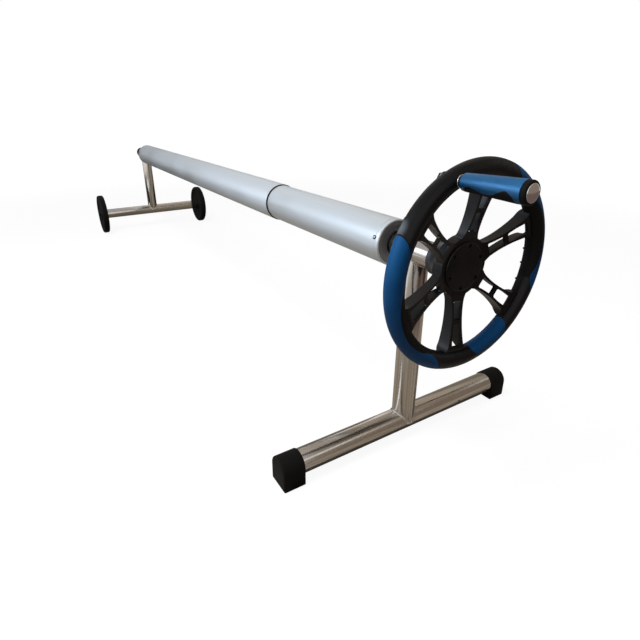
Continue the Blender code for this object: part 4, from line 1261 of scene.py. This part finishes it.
def rimSpot(around, across, section):
    a, s = math.radians(around), math.radians(across)
    radius = wheel["rimCentre"] + section * math.cos(s)
    return Vector((wheelX + section * math.sin(s), radius * math.cos(a), axisHeight + radius * math.sin(a)))


def sleeveHalf(around, grow=0.0):
    # half the blue sleeve's spread round the section, at an angle round the wheel
    fromStart = max(around - rimColours["sleeveStart"] + grow, 0.0)
    fromEnd = max(rimColours["sleeveEnd"] - around + grow, 0.0)
    nose = rimColours["sleeveHalf"] * (fromStart / 8.3) ** 0.4545
    tail = rimColours["sleeveHalf"] * (fromEnd / 8.3) ** 0.4545
    fromMiddle = abs(around - rimColours["restMiddle"]) / rimColours["restReach"]
    rest = rimColours["restNarrow"] + rimColours["restWider"] * fromMiddle**2.3
    # a soft minimum of the three
    soft = 7.0
    spread = -1.0 / soft * math.log(sum(math.exp(-soft * x / 100) for x in (nose, tail, rest))) * 100
    return min(spread + 2.2 * grow, max(nose, 0.0), max(tail, 0.0))


def padHalf(around):
    start, nose = rimColours["padStart"], rimColours["padNose"]
    tail, end = rimColours["padTail"], rimColours["padEnd"]
    if around > tail:
        share = (around - tail) / (end - tail)
        return rimColours["padHalf"] * max(1 - share**2.6, 0.0) ** 0.6
    share = max((nose - around) / (nose - start), 0.0)
    return rimColours["padHalf"] * max(1 - share**4, 0.0) ** 0.5


def rimPanel(rows, columns, span, halfAt, middle, proud, flip=False):
    # a skin over the rim between two angles, spread to both sides of middle
    start, end = span
    section = wheel["section"] + proud

    def spotAt(u, v):
        share = (1 - math.cos(math.pi * u)) / 2
        around = start + (end - start) * share
        across = middle + (2 * v - 1) * halfAt(around)
        if flip:
            around = 2 * rimColours["mirror"] - around
        return rimSpot(around, across, section)

    bm = gridOver(rows, columns, spotAt)
    bmesh.ops.remove_doubles(bm, verts=bm.verts, dist=1e-6)
    inside = (section - rimColours["skin"]) / section
    for vert in pushOut(bm):
        angle = math.atan2(vert.co.z - axisHeight, vert.co.y)
        centre = rimSpot(math.degrees(angle), 90.0, 0.0)
        vert.co = centre + (vert.co - centre) * inside
    bmesh.ops.recalc_face_normals(bm, faces=bm.faces)
    bevelEdges(bm, sharpEdges(bm, 55.0), rimColours["rounding"], 3)
    return bm


def addNubs(rest, flip):
    for around in rimColours["nubs"]:
        nub = bmesh.new()
        bmesh.ops.create_uvsphere(nub, u_segments=16, v_segments=10, radius=1.0)
        bmesh.ops.scale(nub, vec=rimColours["nub"], verts=nub.verts)
        turn = 2 * rimColours["mirror"] - around if flip else around
        place = rimSpot(turn, rimColours["nubAcross"], wheel["section"])
        gather(rest, settle(nub, place, aboutX(turn)))


def rimPad(name, turn, share, middle):
    node = f"rim_pad_{name}"
    span = (rimColours["padStart"], rimColours["padEnd"])
    pad = rimPanel(48, 24, span, lambda a: share * padHalf(a), middle, rimColours["proud"])
    settle(pad, (0.0, 0.0, -axisHeight))
    settle(pad, onAxis, aboutX(turn))
    refine(node, pad, "near_roller", satinBlue)


def buildRim():
    cover = settle(torus(wheel["rimCentre"], wheel["section"], 192, 48), wheelMiddle)
    refine("rim_cover", cover, "near_roller", grainedCover)
    start, end, seam = rimColours["sleeveStart"], rimColours["sleeveEnd"], rimColours["seam"]
    seamSpan = (start - seam, end + seam)
    for name, flip in (("left", False), ("right", True)):
        line = rimPanel(72, 32, seamSpan, lambda a: sleeveHalf(a, seam), 0.0, rimColours["seamProud"], flip)
        addPiece(f"rim_seam_{name}", line, "near_roller", blackRubber)
        sleeve = rimPanel(96, 40, (start, end), sleeveHalf, 0.0, rimColours["proud"], flip)
        refine(f"rim_sleeve_{name}", sleeve, "near_roller", satinBlue)
        restSpan, restProud = rimColours["restSpan"], rimColours["restProud"]
        restHalf = lambda a: rimColours["restHalf"] - sleeveHalf(a)
        rest = rimPanel(56, 24, restSpan, restHalf, 180.0, restProud, flip)
        addNubs(rest, flip)
        addPiece(f"thumb_rest_{name}", rest, "near_roller", blackRubber)
    ridgeHalf, ridgeMiddle = rimColours["ridgeHalf"], rimColours["ridgeMiddle"]
    ridge = rimPanel(6, 12, rimColours["ridgeSpan"], lambda a: ridgeHalf, ridgeMiddle, rimColours["ridge"])
    addPiece("rim_ridge", ridge, "near_roller", grainedCover)
    for name, values in rimColours["pads"].items():
        rimPad(name, *values)


buildRim()
print("rim built")


# Hub: flared boss, plain cover, screws

hub = {
    "bossRadius": 0.0275,
    "bossNeck": 0.0047,
    "bossFlare": 0.0132,
    "bossFlange": 0.004,
    "bossFlangeRadius": 0.043,
    "coverRadius": 0.0385,
    "coverFront": -0.0100,
    "screwCircle": 0.033,
    "screwHead": 0.0030,
    "screwShank": 0.002,
    "screwBack": -0.0348,
    "sunk": 0.0010,
    "socketAcross": 0.0030,
    "socketDepth": 0.0016,
}


def hubBoss():
    low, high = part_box("hub_boss")
    start, end = low.x, high.x
    flange, rim = end - hub["bossFlange"], hub["bossFlangeRadius"]
    neck = start + hub["bossNeck"]
    outline = [(start, shaftBore, 0.0004), (start, hub["bossRadius"], 0.0012)]
    for k in range(13):
        share = k / 12
        flare = hub["bossFlare"] * (1 - math.cos(share * math.pi / 2))
        outline.append((neck + (flange - neck) * share, hub["bossRadius"] + flare))
    outline += [(flange, rim, 0.0008), (end, rim, 0.0008), (end, shaftBore)]
    boss = settle(lathe(outline, 128), onAxis)
    refine("hub_boss", boss, "near_roller", bossPlastic)


def hubCover():
    front, rim = hub["coverFront"], hub["coverRadius"]
    back = wheel["rootFront"] + gap
    cover = lathe([
        (back, 0.0),
        (back, rim),
        (front - 0.0008, rim, 0.0012),
        (front, rim - 0.0020, 0.0010),
        (front, 0.0),
    ], 128)
    settle(cover, wheelMiddle)
    return refine("hub_cover", cover, "near_roller", blackPlastic)


def hubScrew(number, cover):
    angle = math.radians(wheel["firstSpoke"] + 60 * (number - 1))
    y, z = hub["screwCircle"] * math.cos(angle), hub["screwCircle"] * math.sin(angle)
    place = (wheelX, y, axisHeight + z)
    front, back = hub["coverFront"] - hub["sunk"], hub["screwBack"]
    head, shank = hub["screwHead"], hub["screwShank"]
    carve(cover, settle(drill(front - 0.0033, 0.01, head + gap, 32), place))
    screw = lathe([
        (back, 0.0),
        (back, shank, 0.0004),
        (front - 0.003, shank),
        (front - 0.003, head),
        (front, head, 0.0005),
        (front, 0.0),
    ], 32)
    screw = refine(f"hub_screw_{number}", settle(screw, place), "near_roller", darkBoltAndShadeRing)
    socket = hexPrism(hub["socketAcross"], front - hub["socketDepth"], front + 0.002, 0.00005)
    carve(screw, settle(socket, place))


hubBoss()
plainCover = hubCover()
for number in range(1, 7):
    hubScrew(number, plainCover)
print("hub built")


# Grip, which spins on its spindle

grip = {
    "angle": 113.3,
    "length": 0.102,
    "baseRadius": 0.0115,
    "endRadius": 0.01475,
    "capRadius": 0.0144,
    "capLength": 0.0068,
    "capPlug": 0.0080,
    "plugDepth": 0.004,
    "collar": 0.0034,
    "collarRadii": (0.0086, 0.0100),
    "bore": 0.0043,
    "boreWide": 0.0083,
    "boreWideDepth": 0.012,
    "insertStart": 0.09,
    "insertEnd": 0.93,
    "insertHalf": (58.0, 77.0, 60.0, 45.0, 50.0, 74.0, 88.0, 60.0),
    "insertMiddle": 270.0,
    "insertProud": 0.00018,
    "insertSkin": 0.0012,
    "medallion": 0.0112,
    "medallionDome": 0.0015,
    "spindleBore": 0.0033,
    "washer": 0.0015,
    "baseWasher": 0.0088,
    "backWasher": 0.0092,
    "nutAcross": 0.0140,
    "nutLength": 0.0050,
}
gripAngle = math.radians(grip["angle"])
gripY = wheel["rimCentre"] * math.cos(gripAngle)
gripAxis = Vector((0.0, gripY, axisHeight + wheel["rimCentre"] * math.sin(gripAngle)))


def smoothThrough(values, share):
    at = share * (len(values) - 1)
    i = min(int(at), len(values) - 2)
    t = at - i
    before, a, b = values[max(i - 1, 0)], values[i], values[i + 1]
    after = values[min(i + 2, len(values) - 1)]
    slopeA, slopeB = (b - before) / 2, (after - a) / 2
    bend = t * t * (3 - 2 * t)
    return a + (b - a) * bend + slopeA * t * (1 - t) ** 2 - slopeB * t * t * (1 - t)


def onGrip(node, bm, body, finish):
    return refine(node, settle(bm, gripAxis), body, finish)


def gripFixings(seat):
    # washers on both sides of the rim, and the nut behind it
    bore = grip["spindleBore"]
    washer = wallRing(seat, seat + grip["washer"], bore, grip["baseWasher"], (0.0, 0.0004, 0.0005, 0.0), 64)
    onGrip("grip_base_washer", washer, "near_roller", chrome)
    backFace = wheelX - wheel["section"] - gap
    washerBack = backFace - grip["washer"]
    back = wallRing(washerBack, backFace, bore, grip["backWasher"], (0.0, 0.0004, 0.0004, 0.0), 64)
    onGrip("grip_back_washer", back, "near_roller", boltSteel)
    nutFront = washerBack - gap
    nut = hexPrism(grip["nutAcross"], nutFront - grip["nutLength"], nutFront, 0.0005)
    nut = onGrip("grip_nut", nut, "near_roller", darkBoltAndShadeRing)
    carve(nut, settle(drill(nutFront - 0.02, nutFront + 0.005, bore, 32), gripAxis))


def gripInsert(start, end):
    # the wavy rubber let into the sleeve's underside
    first = start + (end - start) * grip["insertStart"]
    last = start + (end - start) * grip["insertEnd"]

    def spotAt(u, v):
        x = first + (last - first) * u
        closing = clamp(min(u, 1 - u) / 0.035) ** 0.5
        spread = smoothThrough(grip["insertHalf"], u) * closing
        turn = math.radians(grip["insertMiddle"] + (2 * v - 1) * spread)
        share = (x - start) / (end - start)
        radius = grip["baseRadius"] + (grip["endRadius"] - grip["baseRadius"]) * share + grip["insertProud"]
        return Vector((x, radius * math.cos(turn), radius * math.sin(turn)))

    insert = gridOver(120, 24, spotAt)
    bmesh.ops.remove_doubles(insert, verts=insert.verts, dist=1e-6)
    for vert in pushOut(insert):
        radius = math.hypot(vert.co.y, vert.co.z)
        vert.co.y *= (radius - grip["insertSkin"]) / radius
        vert.co.z *= (radius - grip["insertSkin"]) / radius
    bmesh.ops.recalc_face_normals(insert, faces=insert.faces)
    bevelEdges(insert, sharpEdges(insert, 60.0), 0.00025, 2)
    onGrip("grip_insert", insert, "grip", blackRubber)


def gripCap(capBack, front):
    pocket, plug = grip["medallion"] + gap, grip["capPlug"]
    plugBack = capBack - gap - grip["plugDepth"]
    cap = lathe([
        (plugBack, 0.0),
        (plugBack, plug),
        (capBack, plug),
        (capBack, grip["capRadius"], 0.0006),
        (front, grip["capRadius"], 0.0024),
        (front, pocket, 0.0004),
        (front - 0.0015, pocket),
        (front - 0.0015, 0.0),
    ], 128)
    onGrip("grip_cap", cap, "grip", blackRubber)
    dome = [(front - 0.0012, 0.0), (front - 0.0012, grip["medallion"])]
    for k in range(13):
        lean = math.radians(90 * k / 12)
        radius = 0.0 if k == 12 else grip["medallion"] * math.cos(lean)
        dome.append((front + grip["medallionDome"] * math.sin(lean), radius))
    onGrip("grip_medallion", lathe(dome), "grip", chrome)


def buildGrip():
    seat = wheelX + wheel["section"] + gap
    start = seat + grip["washer"] + 2 * gap
    front = wheelX + wheel["section"] + grip["length"]
    capBack = front - grip["capLength"]
    end = capBack - gap
    gripFixings(seat)
    bore, (collarStart, collarEnd) = grip["bore"], grip["collarRadii"]
    blueStart = start + grip["collar"]
    collar = lathe([
        (start, bore),
        (start, collarStart, 0.0008),
        (blueStart, collarEnd, 0.0004),
        (blueStart, bore),
    ])
    addPiece("grip_collar", settle(collar, gripAxis), "grip", blackRubber)
    boreFloor = end - grip["boreWideDepth"]
    sleeve = lathe([
        (blueStart, bore),
        (blueStart, grip["baseRadius"], 0.0022),
        (end, grip["endRadius"], 0.0004),
        (end, grip["boreWide"]),
        (boreFloor, grip["boreWide"]),
        (boreFloor, bore),
    ], 128)
    onGrip("grip_sleeve", sleeve, "grip", gripBlue)
    gripInsert(start, end)
    gripCap(capBack, front)


buildGrip()
print("grip built")


# CAD nodes that stay, with their finishes

keptNodes = {
    "near_shaft": steelX,
    "near_shaft_pin": boltSteel,
    "guide_ring": blackPlastic,
    "shaft_bolt": boltSteel,
    "shaft_washer": boltSteel,
    "grip_spindle": boltSteel,
    "far_shaft": steelX,
    "far_shaft_pin": boltSteel,
    "far_shaft_washer": boltSteel,
    "far_shaft_bolt": boltSteel,
}
for node, finish in keptNodes.items():
    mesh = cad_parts[node].data
    mesh.materials.clear()
    mesh.materials.append(finish)


# Studio: pale floor, soft lamps, and a room that only the gloss sees

studio = {
    "ambient": 0.10,
    "backdrop": 1.0,
    "floorColour": (0.15, 0.15, 0.15),
    "floorLift": (0.92, 1.0),
    "liftSpan": (1.6, 3.6),  # how far from the reel the lift grows
    "lamps": (
        # name, place, aims at, size, watts
        ("window on the left", (0.75, -1.05, 2.2), (0.5, 0.0, 0.3), 1.3, 42.0),
        ("overhead softbox", (-0.6, -1.2, 2.9), (0.1, 0.0, 0.2), 2.6, 4.0),
        ("front fill", (3.0, 1.2, 1.4), (0.6, 0.0, 0.2), 2.0, 1.5),
    ),
}


def backdropFactor(tree):
    # 1 for camera, glossy and transmission rays, which see the white backdrop
    path = tree.nodes.new("ShaderNodeLightPath").outputs
    seen = calculate(tree, "MAXIMUM", path["Is Camera Ray"], path["Is Glossy Ray"])
    return calculate(tree, "MAXIMUM", seen, path["Is Transmission Ray"])


def buildWorld():
    world = bpy.data.worlds.new("studio")
    scene.world = world
    world.use_nodes = True
    tree = world.node_tree
    tree.nodes.clear()
    shades = {"Fac": backdropFactor(tree)}
    for number, strength in ((1, studio["ambient"]), (2, studio["backdrop"])):
        shade = {"Color": (1.0, 1.0, 1.0, 1.0), "Strength": strength}
        shades[number] = makeNode(tree, "ShaderNodeBackground", shade)[0]
    makeNode(tree, "ShaderNodeOutputWorld", {"Surface": makeNode(tree, "ShaderNodeMixShader", shades)[0]})


def aim(thing, place, target):
    thing.location = place
    thing.rotation_euler = (Vector(target) - Vector(place)).to_track_quat("-Z", "Y").to_euler()


def addStagePlane(name, place, width, height, target=None):
    bm = bmesh.new()
    bmesh.ops.create_grid(bm, x_segments=1, y_segments=1, size=0.5)
    bmesh.ops.scale(bm, vec=(width, height, 1.0), verts=bm.verts)
    mesh = bpy.data.meshes.new(name)
    bm.to_mesh(mesh)
    bm.free()
    plane = bpy.data.objects.new(name, mesh)
    plane.location = place
    if target is not None:
        aim(plane, place, target)
    scene.collection.objects.link(plane)
    finish = bpy.data.materials.new(name)
    finish.use_nodes = True
    mesh.materials.append(finish)
    return plane, finish.node_tree, finish.node_tree.nodes["Principled BSDF"]


def buildFloor():
    tree, shader = addStagePlane("floor", (0.0, 0.0, -0.0003), 18.0, 18.0)[1:]
    spot = tree.nodes.new("ShaderNodeTexCoord").outputs["Object"]
    away = vectorMaths(tree, "LENGTH", spot)["Value"]
    lift = mapRange(tree, away, *studio["liftSpan"], *studio["floorLift"])
    setValues(tree, shader, {
        "Base Color": (*studio["floorColour"], 1.0),
        "Roughness": 0.9,
        "Specular IOR Level": 0.1,
        "Emission Color": (1.0, 1.0, 1.0, 1.0),
        "Emission Strength": scaled(tree, lift, backdropFactor(tree)),
    })


def buildLamps():
    for name, place, target, size, watts in studio["lamps"]:
        data = bpy.data.lights.new(name, "AREA")
        data.shape = "SQUARE"
        data.size = size
        data.energy = watts
        lamp = bpy.data.objects.new(name, data)
        aim(lamp, place, target)
        scene.collection.objects.link(lamp)
        lamp.visible_glossy = False


room = {
    "carpetSize": (12.0, 8.0),
    "carpetDark": (0.27, 0.235, 0.185),
    "carpetLight": (0.42, 0.375, 0.32),
    "carpetByWindow": (0.44, 0.42, 0.40),
    "carpetFarAway": (0.13, 0.12, 0.10),
    "carpetInFront": (0.15, 0.105, 0.095),
    "windowSide": (-0.05, -0.8),
    "frontSide": (0.25, 0.6),
    "farSide": (-1.0, -2.2),
    "cards": (
        # name, middle, faces towards, width and height, colour, strength
        ("brown wall on the right", (3.3, 2.0, 0.9), (0.9, 0.0, 0.5), (4.2, 1.9), (0.25, 0.20, 0.165), 1.0),
        ("ceiling", (-0.65, 2.0, 2.45), (-0.65, 2.0, 0.0), (3.4, 3.4), (0.46, 0.40, 0.33), 1.0),
        ("ceiling beam", (1.32, 1.6, 2.44), (1.32, 1.6, 0.0), (0.5, 3.4), (0.03, 0.025, 0.02), 1.0),
        ("ceiling on the right", (2.6, 2.0, 2.45), (2.6, 2.0, 0.0), (2.0, 3.4), (0.30, 0.25, 0.20), 1.0),
        ("far wall", (-4.4, 0.0, 1.2), (0.0, 0.0, 1.2), (6.0, 2.4), (0.15, 0.135, 0.11), 1.0),
        ("wall behind", (-1.5, 3.6, 1.1), (-1.5, 0.0, 1.1), (6.0, 2.6), (0.22, 0.20, 0.17), 1.0),
        ("shade under the bar", (nearX, 0.0, 0.0006), (nearX, 0.0, -1.0), (0.09, 0.52),
         (0.05, 0.045, 0.04), 1.0),
        ("bright window", (-0.3, -2.9, 1.6), (0.9, 0.0, 0.5), (3.0, 1.5), (0.76, 0.87, 1.0), 3.8),
        ("ceiling by the window", (-0.8, -1.6, 2.47), (-0.8, -1.6, 0.0), (6.0, 3.6),
         (0.52, 0.52, 0.53), 1.0),
        ("sunlit floor", (-0.35, -1.15, 0.0004), (-0.35, -1.15, -1.0), (0.9, 0.8), (0.80, 0.88, 1.0), 1.5),
    ),
}


def addGlowingPlane(name, place, size, target=None):
    # seen only in gloss: it gives no shade and no light of its own to the rest
    plane, tree, shader = addStagePlane(name, place, *size, target)
    plane.visible_camera = False
    plane.visible_diffuse = False
    plane.visible_transmission = False
    plane.visible_shadow = False
    setValues(tree, shader, {"Base Color": (0.0, 0.0, 0.0, 1.0), "Specular IOR Level": 0.0})
    return tree, shader


def buildRoom():
    for name, middle, target, size, colour, strength in room["cards"]:
        tree, shader = addGlowingPlane(name, middle, size, target)
        setValues(tree, shader, {"Emission Color": (*colour, 1.0), "Emission Strength": strength})
    # boards that run out from the near stand draw lines on its tubes
    tree, shader = addGlowingPlane("floorboards", (nearX, 0.0, -0.0001), room["carpetSize"])
    spot = tree.nodes.new("ShaderNodeTexCoord").outputs["Object"]
    outwards = vectorMaths(tree, "NORMALIZE", spot)["Vector"]
    boards = mapRange(tree, noise(tree, outwards, 5.0, detail=3.0), 0.40, 0.60)
    colour = mixColour(tree, boards, room["carpetDark"], room["carpetLight"])
    split = makeNode(tree, "ShaderNodeSeparateXYZ", {0: spot})
    for axis, span, tint in (
        ("X", room["frontSide"], room["carpetInFront"]),
        ("Y", room["windowSide"], room["carpetByWindow"]),
        ("X", room["farSide"], room["carpetFarAway"]),
    ):
        colour = mixColour(tree, mapRange(tree, split[axis], *span), colour, tint)
    setValues(tree, shader, {"Emission Color": colour, "Emission Strength": 1.0})


buildWorld()
buildFloor()
buildLamps()
buildRoom()
scene.view_settings.view_transform = "Standard"
print("studio set")
